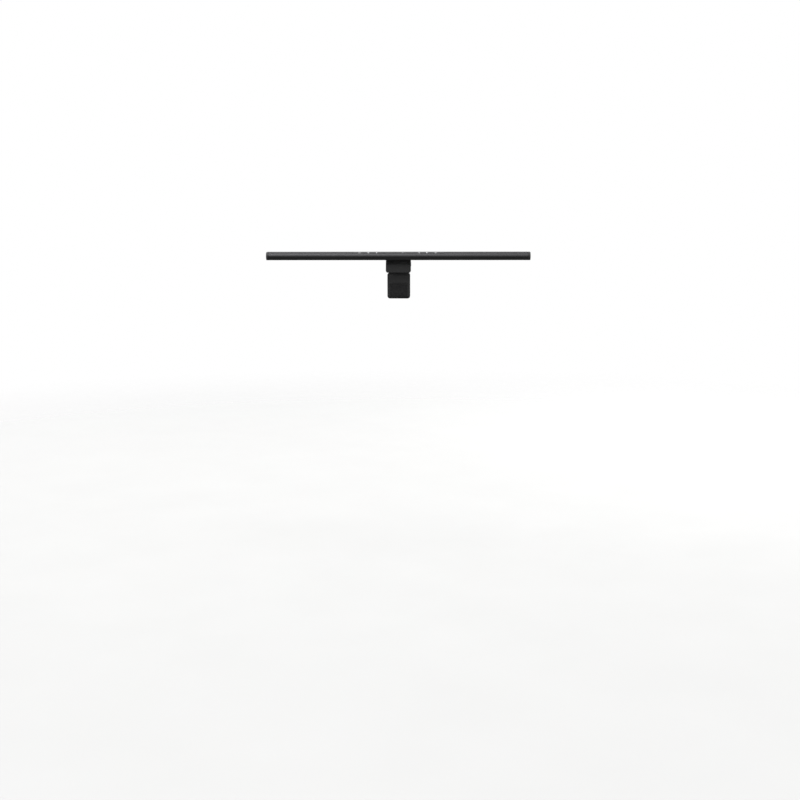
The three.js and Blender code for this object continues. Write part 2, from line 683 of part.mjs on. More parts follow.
/** The arm's outline seen from its side, from the pin down to its foot. */
function armSideOutline() {
  const foot = ARM_BOTTOM_Z;
  const neckFront = SWING_Y - 3.4;
  const neckBack = SWING_Y + 4.4;
  const side = new THREE.Shape();
  side.moveTo(neckFront, SWING_Z);
  side.lineTo(neckFront, -3);
  side.bezierCurveTo(neckFront, -10, ARM_FRONT_Y, -8, ARM_FRONT_Y, -19);
  side.lineTo(ARM_FRONT_Y, foot + 6);
  side.quadraticCurveTo(ARM_FRONT_Y, foot, ARM_FRONT_Y + 6, foot);
  side.lineTo(ARM_BACK_Y - 6, foot);
  side.quadraticCurveTo(ARM_BACK_Y, foot, ARM_BACK_Y, foot + 6);
  side.lineTo(ARM_BACK_Y, -22);
  side.bezierCurveTo(ARM_BACK_Y, -10, neckBack, -10, neckBack, SWING_Z);
  return side;
}

/** The arm's outline seen from behind: a neck between the clip's ears, then full width. */
function armRearOutline() {
  const half = ARM_WIDTH / 2;
  const neck = ARM_NECK_HALF;
  const foot = ARM_BOTTOM_Z;
  const outline = new THREE.Shape();
  outline.moveTo(-neck, 12);
  outline.lineTo(-neck, -4);
  outline.bezierCurveTo(-neck, -11, -half, -9, -half, -16);
  outline.lineTo(-half, foot + 6);
  outline.quadraticCurveTo(-half, foot, -half + 6, foot);
  outline.lineTo(half - 6, foot);
  outline.quadraticCurveTo(half, foot, half, foot + 6);
  outline.lineTo(half, -16);
  outline.bezierCurveTo(half, -9, neck, -11, neck, -4);
  outline.lineTo(neck, 12);
  return outline;
}

function armForm() {
  const side = alongX(armSideOutline(), -ARM_WIDTH / 2, ARM_WIDTH / 2, 12);
  return side.intersect(alongY(armRearOutline(), PAD_Y, ARM_BACK_Y + 5, 12));
}

function armCavity() {
  const { half, front, back, floor, top } = CAVITY;
  let cavity = block(-half, half, front, back, floor, top);
  for (const [, x, z] of ARM_SCREWS) {
    cavity = cavity.subtract(rodY(ARM_SCREW.boss, front - 1, back + 1, x, z));
  }
  return cavity;
}

function makeArmFrontShell() {
  const neck = ARM_NECK_HALF;
  const behindSeam = block(-30, 30, ARM_SEAM_Y - GAP / 2, 50, -70, COVER_TOP_Z + GAP / 2);
  const springWindow = block(-6.5, 6.5, SWING_Y - 10, SWING_Y + 10, -0.4, 12);
  const groove = block(
    -SPRING.x - 1,
    -SPRING.x + 1,
    SWING_Y - 5,
    SWING_Y - SPRING.radius + 1,
    -7,
    0,
  );
  let shell = armForm()
    .subtract(behindSeam)
    .subtract(armCavity())
    .add(rodX(BARREL_RADIUS, -neck, neck, SWING_Y, SWING_Z, BARREL_SIDES))
    .subtract(springWindow)
    .subtract(rodX(BORE_RADIUS, -20, 20, SWING_Y, SWING_Z, 16))
    .subtract(groove);
  for (const [, x, z] of ARM_SCREWS) {
    const hole = rodY(ARM_SCREW.hole, ARM_FRONT_Y + 3.1, ARM_SEAM_Y + 2, x, z, 10);
    shell = shell.subtract(hole);
  }
  return shell;
}

function makeArmRearCover() {
  const region = block(-30, 30, ARM_SEAM_Y + GAP / 2, 50, -70, COVER_TOP_Z - GAP / 2);
  let cover = armForm().intersect(region).subtract(armCavity());
  for (const [, x, z] of ARM_SCREWS) {
    cover = cover
      .subtract(rodY(ARM_SCREW.hole, ARM_SEAM_Y - 2, ARM_BACK_Y + 1, x, z, 10))
      .subtract(rodY(ARM_SCREW.sink, ARM_BACK_Y - 2.1, ARM_BACK_Y + 1, x, z, SINK_SIDES));
  }
  return cover;
}

function makeRearPad() {
  const base = ARM_FRONT_Y - GAP;
  const shape = new THREE.Shape();
  shape.moveTo(base, -30);
  shape.quadraticCurveTo(PAD_Y + 0.4, -31, PAD_Y, -39);
  shape.lineTo(PAD_Y, -49);
  shape.quadraticCurveTo(PAD_Y + 0.4, -56.6, base, -57.6);
  return alongX(shape, -17, 17, 4);
}

function addClampArm() {
  add(arm, "arm_front_shell", makeArmFrontShell(), BLACK_PLASTIC);
  add(arm, "arm_rear_cover", makeArmRearCover(), BLACK_PLASTIC);
  const slug = block(-19, 19, CAVITY.front + 0.5, CAVITY.back - 0.5, -51.8, -22.8);
  add(arm, "arm_counterweight", slug, ZINC);
  add(arm, "rear_pad", makeRearPad(), RUBBER);
  for (const [word, x, z] of ARM_SCREWS) {
    const mesh = add(arm, `arm_screw_${word}`, screwGeometry(2, 1.1, 0.95, 10), STEEL);
    mesh.position.set(x, ARM_BACK_Y - 0.7, z);
  }
}

addLampHead();
addTiltHinge();
addFrictionWashers();
addClip();
addClampArm();

export default part;
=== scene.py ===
"""Looks for the monitor light bar: materials, fine pieces, lights and camera round its CAD."""

import json
import math

import bmesh
import bpy
from mathutils import Matrix, Vector

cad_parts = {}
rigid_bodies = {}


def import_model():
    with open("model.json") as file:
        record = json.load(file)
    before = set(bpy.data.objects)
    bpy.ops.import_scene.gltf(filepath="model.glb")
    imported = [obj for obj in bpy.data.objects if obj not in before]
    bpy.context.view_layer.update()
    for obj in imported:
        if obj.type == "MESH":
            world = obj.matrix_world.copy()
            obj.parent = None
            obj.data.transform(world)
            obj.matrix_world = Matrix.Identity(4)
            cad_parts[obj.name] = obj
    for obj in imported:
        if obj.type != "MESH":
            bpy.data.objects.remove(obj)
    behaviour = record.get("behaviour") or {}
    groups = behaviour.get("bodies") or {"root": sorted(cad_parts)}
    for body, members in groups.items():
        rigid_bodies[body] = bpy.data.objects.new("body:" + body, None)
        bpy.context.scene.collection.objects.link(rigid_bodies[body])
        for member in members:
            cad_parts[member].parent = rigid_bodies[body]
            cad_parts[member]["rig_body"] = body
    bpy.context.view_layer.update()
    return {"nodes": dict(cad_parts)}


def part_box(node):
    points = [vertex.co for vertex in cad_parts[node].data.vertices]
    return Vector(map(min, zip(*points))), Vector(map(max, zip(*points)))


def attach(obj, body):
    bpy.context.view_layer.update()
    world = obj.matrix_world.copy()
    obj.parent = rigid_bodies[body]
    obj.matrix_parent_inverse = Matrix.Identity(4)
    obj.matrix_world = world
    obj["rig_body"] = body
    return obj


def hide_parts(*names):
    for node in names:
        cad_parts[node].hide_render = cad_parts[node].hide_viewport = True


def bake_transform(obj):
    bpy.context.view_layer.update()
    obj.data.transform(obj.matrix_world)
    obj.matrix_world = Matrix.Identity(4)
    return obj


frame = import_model()

MM = 0.001
X, Y, Z = 0, 1, 2
X_LOW, X_HIGH = 0, 1


# ---- places, all read from the frame -------------------------------------------------


def centre_of(node_name):
    low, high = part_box(node_name)
    return (low + high) / 2


HOUSING_LOW, HOUSING_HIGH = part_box("bar_housing")
BAR = centre_of("bar_housing")  # the middle of the bar's section
BAR_RADIUS = (HOUSING_HIGH.z - HOUSING_LOW.z) / 2  # of its round front edge
NOSE = Vector((0, HOUSING_LOW.y + BAR_RADIUS, BAR.z))  # on the axis of that edge
ARM_PIN = centre_of("arm_hinge_pin")


# ---- camera --------------------------------------------------------------------------

LENS_MM = 54.1
CAMERA_DISTANCE = 2.293
CAMERA_AZIMUTH = math.radians(1.5)  # it stands a little to the bar's right
CAMERA_ELEVATION = math.radians(1.6)
AIM_BELOW = math.radians(6.828)  # it looks at the middle of where the monitor would be
AIM_RIGHT = math.radians(0.083)
ROLL = math.radians(0.08)


def add_camera():
    data = bpy.data.cameras.new("camera")
    data.lens = LENS_MM
    camera = bpy.data.objects.new("camera", data)
    bpy.context.scene.collection.objects.link(camera)
    flat = math.cos(CAMERA_ELEVATION)
    back = Vector((
        math.sin(CAMERA_AZIMUTH) * flat,
        -math.cos(CAMERA_AZIMUTH) * flat,
        math.sin(CAMERA_ELEVATION),
    ))
    facing = (-back).to_track_quat("-Z", "Y").to_matrix().to_4x4()
    turn = Matrix.Rotation(-AIM_RIGHT, 4, "Y") @ Matrix.Rotation(-AIM_BELOW, 4, "X")
    turn = turn @ Matrix.Rotation(-ROLL, 4, "Z")
    camera.matrix_world = Matrix.Translation(NOSE + back * CAMERA_DISTANCE) @ facing @ turn
    bpy.context.scene.camera = camera


# ---- stage and light -----------------------------------------------------------------

FLOOR_DROP = 0.5  # a desk is about this far below a monitor's top edge
FLOOR_RADIUS = 9.0
FADE_START, FADE_END = 0.3, 2.52  # how far out the floor begins to fade, and where it is gone


def add_floor():
    """A pale round floor that fades into the white surroundings on all sides."""
    bm = bmesh.new()
    bmesh.ops.create_circle(bm, cap_ends=True, segments=96, radius=FLOOR_RADIUS)
    mesh = bpy.data.meshes.new("floor")
    bm.to_mesh(mesh)
    bm.free()
    floor = bpy.data.objects.new("floor", mesh)
    bpy.context.scene.collection.objects.link(floor)
    floor.location.z = -FLOOR_DROP
    floor.visible_diffuse = False
    floor.visible_glossy = False
    material = new_material("floor_paper", Roughness=0.9)
    mottle = noise(material, 180, detail=3)
    tint(material, mottle, (0.66, 0.66, 0.655), (0.70, 0.70, 0.695))
    nodes = material.node_tree.nodes
    place = node(material, "ShaderNodeTexCoord").outputs["Object"]
    reach = node(material, "ShaderNodeVectorMath", {0: place}, operation="LENGTH")
    fade = remap(material, reach.outputs["Value"], FADE_START, FADE_END, 0, 1, smooth=True)
    clear = node(material, "ShaderNodeBsdfTransparent")
    shaders = {0: fade, 1: nodes["Principled BSDF"].outputs["BSDF"], 2: clear.outputs["BSDF"]}
    blend = node(material, "ShaderNodeMixShader", shaders)
    material.node_tree.links.new(blend.outputs[0], nodes["Material Output"].inputs["Surface"])
    mesh.materials.append(material)


def add_world():
    """White behind everything. The light it gives is bright from above and dim from below, comes
    lower in front than behind, is stronger behind on the left, and has a soft bounce from
    either side and a faint one from the floor."""
    world = bpy.data.worlds.new("studio")
    bpy.context.scene.world = world
    world.use_nodes = True
    backdrop = world.node_tree.nodes["Background"]
    backdrop.inputs["Color"].default_value = (1, 1, 1, 1)
    direction = node(world, "ShaderNodeTexCoord").outputs["Generated"]
    split = node(world, "ShaderNodeSeparateXYZ", {0: direction}).outputs
    front_sky = remap(world, split["Z"], -0.36, 0.42, 0.09, 0.80, smooth=True)
    rear_rise = remap(world, split["Z"], 0.05, 1.0, 0.05, 0.85, smooth=True)
    leftwards = remap(world, split["X"], 0.15, -0.25, 0.35, 1.8, smooth=True)
    rear_sky = compute(world, "MULTIPLY", rear_rise, leftwards)
    behind = remap(world, split["Y"], -0.15, 0.35, 0, 1, smooth=True)
    sky = node(world, "ShaderNodeMix", {0: behind, 2: front_sky, 3: rear_sky}).outputs[0]
    aside = compute(world, "ABSOLUTE", split["X"])
    bounce = remap(world, aside, 0.35, 0.9, 0, 0.65, smooth=True)
    floor_glow = remap(world, split["Z"], -0.65, -1, 0, 0.2, smooth=True)
    level = compute(world, "MAXIMUM", compute(world, "MAXIMUM", sky, bounce), floor_glow)
    glow = node(world, "ShaderNodeBackground", {"Strength": level, "Color": (1, 1, 1, 1)})
    seen = node(world, "ShaderNodeLightPath").outputs["Is Camera Ray"]
    shaders = {0: seen, 1: glow.outputs[0], 2: backdrop.outputs[0]}
    chosen = node(world, "ShaderNodeMixShader", shaders)
    output = world.node_tree.nodes["World Output"]
    world.node_tree.links.new(chosen.outputs[0], output.inputs[0])


def add_softbox(name, azimuth, elevation, distance, width, height, watts):
    """An area light that faces the bar. Azimuth 0 is in front of it and 90 to its right."""
    light = bpy.data.lights.new(name, "AREA")
    light.shape = "RECTANGLE"
    light.size = width
    light.size_y = height
    light.energy = watts
    a, e = math.radians(azimuth), math.radians(elevation)
    away = Vector((math.sin(a) * math.cos(e), -math.cos(a) * math.cos(e), math.sin(e)))
    softbox = bpy.data.objects.new(name, light)
    bpy.context.scene.collection.objects.link(softbox)
    softbox.location = BAR + away * distance
    softbox.rotation_euler = away.to_track_quat("Z", "Y").to_euler()


SOFTBOXES = (  # name, azimuth, elevation, distance, width, height, watts
    ("key_softbox", -30, 42, 2.2, 2.4, 0.9, 18),
    ("top_softbox", 180, 80, 2.0, 2.0, 0.8, 9),
    ("rear_softbox", 140, 18, 2.4, 1.8, 1.0, 26),
    ("rear_left_softbox", 238, 34, 2.4, 1.2, 1.0, 16),
    ("side_softbox", 82, 30, 2.4, 1.0, 0.8, 10),
)


def add_lights():
    for softbox in SOFTBOXES:
        add_softbox(*softbox)
    bpy.context.scene.view_settings.view_transform = "Standard"


# ---- material nodes ------------------------------------------------------------------


def node(owner, kind, inputs=None, **settings):
    """A new shader node with its settings, values and links."""
    tree = owner.node_tree
    made = tree.nodes.new(kind)
    for key, value in settings.items():
        setattr(made, key, value)
    for key, value in (inputs or {}).items():
        if isinstance(value, bpy.types.NodeSocket):
            tree.links.new(value, made.inputs[key])
        else:
            made.inputs[key].default_value = value
    return made


def shader_of(material):
    return material.node_tree.nodes["Principled BSDF"]


def new_material(name, **uniform):
    """A Principled material. Values that are the same all over go on the shader's own sockets."""
    material = bpy.data.materials.new(name)
    material.use_nodes = True
    for socket, value in uniform.items():
        shader_of(material).inputs[socket.replace("_", " ")].default_value = value
    return material


def feed(material, socket, value):
    material.node_tree.links.new(value, shader_of(material).inputs[socket])


def noise(material, size_mm, stretch=(1, 1, 1), detail=2.0, roughness=0.5):
    """Noise from 0 to 1 with features about size_mm across; stretch divides it along an axis."""
    place = node(material, "ShaderNodeTexCoord").outputs["Object"]
    scale = [1 / s for s in stretch]
    mapped = node(material, "ShaderNodeMapping", {"Vector": place, "Scale": scale})
    values = {"Vector": mapped.outputs["Vector"], "Scale": 1 / (size_mm * MM)}
    values |= {"Detail": detail, "Roughness": roughness}
    return node(material, "ShaderNodeTexNoise", values).outputs[0]


def cells(material, size_mm):
    """Distance to the nearest of scattered points, for pebbled mouldings."""
    place = node(material, "ShaderNodeTexCoord").outputs["Object"]
    scale = 1 / (size_mm * MM)
    return node(material, "ShaderNodeTexVoronoi", {"Vector": place, "Scale": scale}).outputs[0]


def compute(owner, operation, *values):
    """The result of one operation on values or sockets."""
    return node(owner, "ShaderNodeMath", dict(enumerate(values)), operation=operation).outputs[0]


def remap(owner, value, low, high, to_low, to_high, smooth=False):
    return node(
        owner,
        "ShaderNodeMapRange",
        {0: value, 1: low, 2: high, 3: to_low, 4: to_high},
        interpolation_type="SMOOTHSTEP" if smooth else "LINEAR",
    ).outputs[0]


def mix_colours(material, factor, first, second):
    """first and second are colours or sockets."""
    mixer = node(material, "ShaderNodeMix", {"Factor": factor}, data_type="RGBA")
    for socket, value in ((mixer.inputs[6], first), (mixer.inputs[7], second)):
        if isinstance(value, bpy.types.NodeSocket):
            material.node_tree.links.new(value, socket)
        else:
            socket.default_value = (*value, 1)
    return mixer.outputs[2]


def tint(material, factor, first, second):
    feed(material, "Base Color", mix_colours(material, factor, first, second))


def roughen(material, pattern, least, most, start=0.3):
    """Roughness that follows a pattern."""
    feed(material, "Roughness", remap(material, pattern, start, 0.7, least, most))


def add_bump(material, *layers):
    """layers are (height, depth in mm, strength), the coarsest first."""
    normal = None
    for height, depth_mm, strength in layers:
        values = {"Height": height, "Distance": depth_mm * MM, "Strength": strength}
        if normal is not None:
            values["Normal"] = normal
        normal = node(material, "ShaderNodeBump", values).outputs["Normal"]
    feed(material, "Normal", normal)


OPEN_SURFACE = 0.995  # how nearly the rounded and the true normal agree away from any edge


def worn_edges(material, radius_mm, sharpness, patch_mm, low, high, most):
    """0 on open surface, and up to `most` along edges, in patches about patch_mm across."""
    rounded = node(material, "ShaderNodeBevel", {"Radius": radius_mm * MM}, samples=4)
    true = node(material, "ShaderNodeNewGeometry").outputs["Normal"]
    values = {0: rounded.outputs[0], 1: true}
    dot = node(material, "ShaderNodeVectorMath", values, operation="DOT_PRODUCT")
    edges = remap(material, dot.outputs["Value"], 1 - sharpness, OPEN_SURFACE, 1, 0)
    patches = remap(material, noise(material, patch_mm, detail=4), low, high, 0, most)
    return compute(material, "MULTIPLY", edges, patches)


# ---- materials -----------------------------------------------------------------------


def anodised_aluminium():
    """Black anodised extrusion: fine blasted grain over faint lines drawn along its length."""
    material = new_material("anodised_aluminium", Metallic=0.9)
    drawn = noise(material, 0.35, stretch=(60, 1, 1), detail=3)
    grain = noise(material, 0.14, detail=1)
    cloud = noise(material, 38, stretch=(2.5, 1, 1), detail=3)
    base = mix_colours(material, cloud, (0.070, 0.070, 0.073), (0.086, 0.086, 0.088))
    worn = worn_edges(material, 0.35, 0.12, 1.4, 0.42, 0.68, 0.55)
    tint(material, worn, base, (0.24, 0.24, 0.245))
    smear = noise(material, 14, stretch=(3, 1, 1), detail=4, roughness=0.6)
    roughen(material, smear, 0.34, 0.43)
    add_bump(material, (drawn, 0.012, 0.4), (grain, 0.014, 0.45))
    return material


def moulded_plastic(name, dark, light, roughness, pebble_mm=0.3):
    """Black moulding with a fine spark-eroded texture, faint smudges and paler worn edges."""
    material = new_material(name, Specular_IOR_Level=0.45)
    cloud = noise(material, 22, detail=4, roughness=0.6)
    base = mix_colours(material, cloud, dark, light)
    worn = worn_edges(material, 0.5, 0.2, 2.2, 0.45, 0.72, 0.5)
    tint(material, worn, base, tuple(c * 2.6 for c in light))
    smudge = noise(material, 9, detail=5, roughness=0.65)
    roughen(material, smudge, roughness - 0.06, roughness + 0.07)
    pebble = cells(material, pebble_mm)
    fine = noise(material, 0.12, detail=2)
    add_bump(material, (pebble, 0.03, 0.4), (fine, 0.012, 0.4))
    return material


def touch_gloss():
    """Smooth smoked polycarbonate with faint finger marks."""
    material = new_material("touch_gloss", Specular_IOR_Level=0.6, Metallic=0.35)
    cloud = noise(material, 16, detail=3)
    tint(material, cloud, (0.052, 0.052, 0.055), (0.062, 0.062, 0.064))
    marks = noise(material, 6, detail=6, roughness=0.7)
    roughen(material, marks, 0.27, 0.36, start=0.35)
    add_bump(material, (noise(material, 0.5, detail=2), 0.004, 0.3))
    return material


def icon_ink():
    material = new_material("icon_ink", Roughness=0.55)
    tint(material, noise(material, 0.4, detail=3), (0.70, 0.71, 0.72), (0.80, 0.80, 0.81))
    add_bump(material, (noise(material, 0.12, detail=1), 0.003, 0.3))
    return material


def frosted_lens():
    """Milky acrylic with fine ribs drawn along it."""
    material = new_material("frosted_lens", Subsurface_Weight=0.35, Subsurface_Scale=0.002)
    cloud = noise(material, 30, stretch=(2, 1, 1), detail=3)
    tint(material, cloud, (0.76, 0.775, 0.765), (0.83, 0.84, 0.83))
    roughen(material, noise(material, 5, detail=4), 0.42, 0.56)
    ribs = noise(material, 0.5, stretch=(200, 1, 1), detail=1)
    add_bump(material, (ribs, 0.08, 0.6), (noise(material, 0.12, detail=1), 0.008, 0.4))
    return material


def metal(name, dark, light, roughness, grain_mm=0.3, stretch=(1, 1, 1)):
    """Bare or coated metal with a fine grain and stained roughness."""
    material = new_material(name, Metallic=1.0)
    cloud = noise(material, 4, detail=4, roughness=0.6)
    base = mix_colours(material, cloud, dark, light)
    worn = worn_edges(material, 0.25, 0.2, 0.9, 0.4, 0.7, 0.7)
    tint(material, worn, base, tuple(min(1, c * 1.8 + 0.05) for c in light))
    stain = noise(material, 2.5, detail=5, roughness=0.65)
    roughen(material, stain, roughness - 0.07, roughness + 0.08)
    grain = noise(material, grain_mm, stretch=stretch, detail=3)
    add_bump(material, (grain, 0.008, 0.45))
    return material


def silicone():
    """Dark silicone: matt, faintly dusty, with a soft skin of fine pits."""
    material = new_material(
        "dark_silicone",
        Sheen_Weight=0.15,
        Sheen_Roughness=0.4,
        Specular_IOR_Level=0.35,
    )
    dust = remap(material, noise(material, 3.5, detail=6, roughness=0.7), 0.52, 0.8, 0, 0.35)
    tint(material, dust, (0.016, 0.016, 0.017), (0.085, 0.083, 0.08))
    roughen(material, noise(material, 5, detail=4), 0.68, 0.84)
    add_bump(material, (noise(material, 0.35, detail=3), 0.02, 0.45))
    return material


def circuit_board(name, dark, light):
    """Solder mask over faintly raised tracks."""
    material = new_material(name, Roughness=0.38, Coat_Weight=0.3, Coat_Roughness=0.2)
    tracks = noise(material, 1.3, stretch=(8, 1, 1), detail=1)
    raised = remap(material, tracks, 0.48, 0.53, 0, 1)
    tint(material, raised, dark, light)
    add_bump(material, (raised, 0.03, 0.5), (noise(material, 0.1, detail=1), 0.004, 0.3))
    return material


def speckled(name, dark, light, roughness, grain_mm=0.4, metallic=0.0):
    """Small parts: two close tones, broken roughness and a fine grain."""
    material = new_material(name, Metallic=metallic)
    tint(material, noise(material, grain_mm * 4, detail=4), dark, light)
    patches = noise(material, grain_mm * 6, detail=4)
    roughen(material, patches, roughness - 0.06, roughness + 0.08)
    add_bump(material, (noise(material, grain_mm, detail=3), 0.02, 0.5))
    return material


LOOKS = (  # the maker of each material, its name, and the maker's other values
    (moulded_plastic, "clip_plastic", (0.030, 0.030, 0.031), (0.038, 0.038, 0.039), 0.48),
    (moulded_plastic, "cap_plastic", (0.036, 0.036, 0.037), (0.044, 0.044, 0.045), 0.42, 0.22),
    (metal, "mirror_film", (0.84, 0.85, 0.86), (0.9, 0.9, 0.91), 0.14, 0.5),
    (metal, "turned_steel", (0.50, 0.50, 0.51), (0.6, 0.6, 0.61), 0.3, 0.12, (1, 6, 6)),
    (metal, "plate_steel", (0.46, 0.465, 0.475), (0.56, 0.565, 0.575), 0.36, 0.3, (14, 1, 1)),
    (metal, "washer_steel", (0.16, 0.16, 0.165), (0.24, 0.24, 0.245), 0.42),
    (metal, "black_steel", (0.045, 0.045, 0.047), (0.07, 0.07, 0.072), 0.4),
    (metal, "black_oxide", (0.07, 0.07, 0.073), (0.1, 0.1, 0.104), 0.33),
    (metal, "contact_gold", (0.78, 0.53, 0.18), (0.86, 0.62, 0.26), 0.26, 0.1),
    (circuit_board, "white_mask", (0.78, 0.78, 0.76), (0.84, 0.84, 0.82)),
    (circuit_board, "green_mask", (0.012, 0.075, 0.035), (0.018, 0.11, 0.05)),
    (speckled, "sensor_window", (0.012, 0.012, 0.014), (0.02, 0.02, 0.023), 0.12),
    (speckled, "epoxy_chip", (0.012, 0.012, 0.013), (0.02, 0.02, 0.021), 0.55, 0.1),
    (speckled, "led_package", (0.78, 0.78, 0.75), (0.86, 0.86, 0.84), 0.45, 0.1),
    (speckled, "led_phosphor", (0.78, 0.60, 0.10), (0.86, 0.70, 0.18), 0.5, 0.1),
    (speckled, "cast_zinc", (0.30, 0.31, 0.32), (0.42, 0.43, 0.44), 0.5, 0.6, 0.95),
    (speckled, "amber_film", (0.42, 0.17, 0.03), (0.5, 0.23, 0.05), 0.32, 0.5),
)


def make_materials():
    made = {
        "anodised_aluminium": anodised_aluminium(),
        "touch_gloss": touch_gloss(),
        "icon_ink": icon_ink(),
        "frosted_lens": frosted_lens(),
        "dark_silicone": silicone(),
    }
    for maker, name, *values in LOOKS:
        made[name] = maker(name, *values)
    return made


# ---- CAD nodes that keep their shape -------------------------------------------------


def clean_normals(part):
    """Lets the node shade from its own faces; its vertices stay where they are."""
    mesh = part.data
    for name in ("custom_normal", "sharp_face"):
        if name in mesh.attributes:
            mesh.attributes.remove(mesh.attributes[name])
    mesh.polygons.foreach_set("use_smooth", [True] * len(mesh.polygons))
    mesh.update()


def soften(node_name, width_mm):
    """Rounds a CAD node's edges with modifiers only."""
    part = frame["nodes"][node_name]
    clean_normals(part)
    weld = part.modifiers.new("weld", "WELD")
    weld.merge_threshold = 1e-6
    flat = part.modifiers.new("flat", "DECIMATE")
    flat.decimate_type = "DISSOLVE"
    flat.angle_limit = math.radians(0.4)
    if width_mm:
        bevel = part.modifiers.new("bevel", "BEVEL")
        bevel.width = width_mm * MM
        bevel.segments = 3
        bevel.limit_method = "ANGLE"
        bevel.angle_limit = math.radians(32)
        bevel.miter_outer = "MITER_ARC"
    normals = part.modifiers.new("normals", "WEIGHTED_NORMAL")
    normals.keep_sharp = True
    normals.weight = 60


def paint(node_name, *finishes):
    """Gives a CAD node its materials; the first is the one all its faces start with."""
    slots = frame["nodes"][node_name].data.materials
    slots.clear()
    for finish in finishes:
        slots.append(materials[finish])


def paint_faces(node_name, slot_index, chosen):
    """Moves the faces whose middle passes the test to another of the node's materials."""
    for face in frame["nodes"][node_name].data.polygons:
        if chosen(face.center):
            face.material_index = slot_index


KEPT = {  # CAD node: (material, edge radius in mm)
    "light_reflector": ("mirror_film", 0.1),
    "touch_sensor_board": ("green_mask", 0.08),
    "usb_c_port_tongue": ("epoxy_chip", 0.1),
    "touch_flex_cable": ("amber_film", 0),
    "led_lead_wire": ("dark_silicone", 0),
    "bracket_nut_plate": ("plate_steel", 0.2),
    "left_hinge_cap": ("cap_plastic", 0.6),
    "right_hinge_cap": ("cap_plastic", 0.6),
    "tilt_shaft": ("turned_steel", 0.25),
    "tilt_washer_left": ("washer_steel", 0.08),
    "tilt_washer_right": ("washer_steel", 0.08),
    "clip_core_plate": ("plate_steel", 0.2),
    "left_pin_cap": ("cap_plastic", 0.5),
    "right_pin_cap": ("cap_plastic", 0.5),
    "arm_hinge_pin": ("turned_steel", 0.25),
    "arm_counterweight": ("cast_zinc", 0.8),
    "led_strip_board": ("white_mask", 0),
    "driver_board": ("green_mask", 0),
    "ambient_light_window": ("sensor_window", 0.2),
}

LED_HEIGHT = 0.6 * MM  # of each package in front of its board
CHIP_FOOT = 1.05 * MM  # from the driver board's underside up to where its chips begin


def dress_cad_nodes():
    for node_name, (finish, radius_mm) in KEPT.items():
        paint(node_name, finish)
        soften(node_name, radius_mm)
    strip_low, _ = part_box("led_strip_board")
    paint("led_strip_board", "white_mask", "led_package")
    paint_faces("led_strip_board", 1, lambda c: c.y < strip_low.y + LED_HEIGHT)
    driver_low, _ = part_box("driver_board")
    paint("driver_board", "green_mask", "epoxy_chip")
    paint_faces("driver_board", 1, lambda c: c.z > driver_low.z + CHIP_FOOT)


# ---- CAD nodes whose edges are rounded on a copy that stands for them ----------------

CORNER = math.radians(24)  # a sharper edge than this is one to round
FAINT_CORNER = math.radians(5)  # where a corner fades out along its length
NEAR = 0.03 * MM
SHELL_LOOK = ("clip_plastic", "black_plastic")  # of the clip's and the arm's shells
HOLE_MM = 2.5  # a reach that takes in the hole round a screw or the sensor window
BORE_MM = 2.2  # a reach round a shaft that takes in its bore, but not its barrel
BARREL_MM = 5  # a reach that takes in the barrel too


def on(axis, level):
    """A test: an edge lies on the plane where axis has that value."""
    return lambda edge: all(abs(v.co[axis] - level) < NEAR for v in edge.verts)


def between(axis, low, high):
    """A test: an edge lies between two values of axis."""
    return lambda edge: all(low - NEAR < v.co[axis] < high + NEAR for v in edge.verts)


def around(axis, node_name, radius_mm):
    """A test: an edge lies within radius_mm of the line along axis through a node's middle."""
    centre = centre_of(node_name)

    def test(edge):
        for vertex in edge.verts:
            apart = vertex.co - centre
            apart[axis] = 0
            if apart.length > radius_mm * MM:
                return False
        return True

    return test


def both(*tests):
    return lambda edge: all(test(edge) for test in tests)


def either(*tests):
    return lambda edge: any(test(edge) for test in tests)


def neither(*tests):
    return lambda edge: not any(test(edge) for test in tests)


def across(axis):
    """A test: an edge runs square to axis."""
    return lambda edge: abs(edge.verts[0].co[axis] - edge.verts[1].co[axis]) < NEAR


def slanted(edge):
    """True for an edge that runs along neither X nor Y."""
    run = (edge.verts[0].co - edge.verts[1].co).normalized()
    return abs(run.x) < 0.98 and abs(run.y) < 0.98


def rounded_copy(node_name, finish, slot, *rules, corner=CORNER, flat_degrees=0.3):
    """rules are (radius in mm, segments, test); a test picks the sharp edges that get it.
    Faces that meet at less than flat_degrees become one."""
    source = frame["nodes"][node_name]
    bm = bmesh.new()
    bm.from_mesh(source.data)
    bmesh.ops.remove_doubles(bm, verts=bm.verts, dist=2e-6)
    limit = math.radians(flat_degrees)
    bmesh.ops.dissolve_limit(bm, angle_limit=limit, verts=bm.verts, edges=bm.edges)
    for radius_mm, segments, test in rules:
        bm.normal_update()
        sharp = [e for e in bm.edges if e.calc_face_angle(0) > corner]
        bmesh.ops.bevel(
            bm,
            geom=[e for e in sharp if test(e)],
            offset=radius_mm * MM,
            segments=segments,
            profile=0.5,
            affect="EDGES",
        )
    body = source["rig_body"]
    piece = new_piece(f"{node_name}_finished", bm, finish, body, [node_name])
    normals = piece.modifiers.new("normals", "WEIGHTED_NORMAL")
    normals.keep_sharp = True


def on_bar_skin(edge):
    """True for an edge on the bar's outer surface."""
    for vertex in edge.verts:
        back, up = vertex.co.y - NOSE.y, vertex.co.z - NOSE.z
        if back < 0:
            depth = BAR_RADIUS - math.hypot(back, up)
        else:
            depth = min(BAR_RADIUS - abs(up), HOUSING_HIGH.y - vertex.co.y)
        if depth > 0.1 * MM:
            return False
    return True


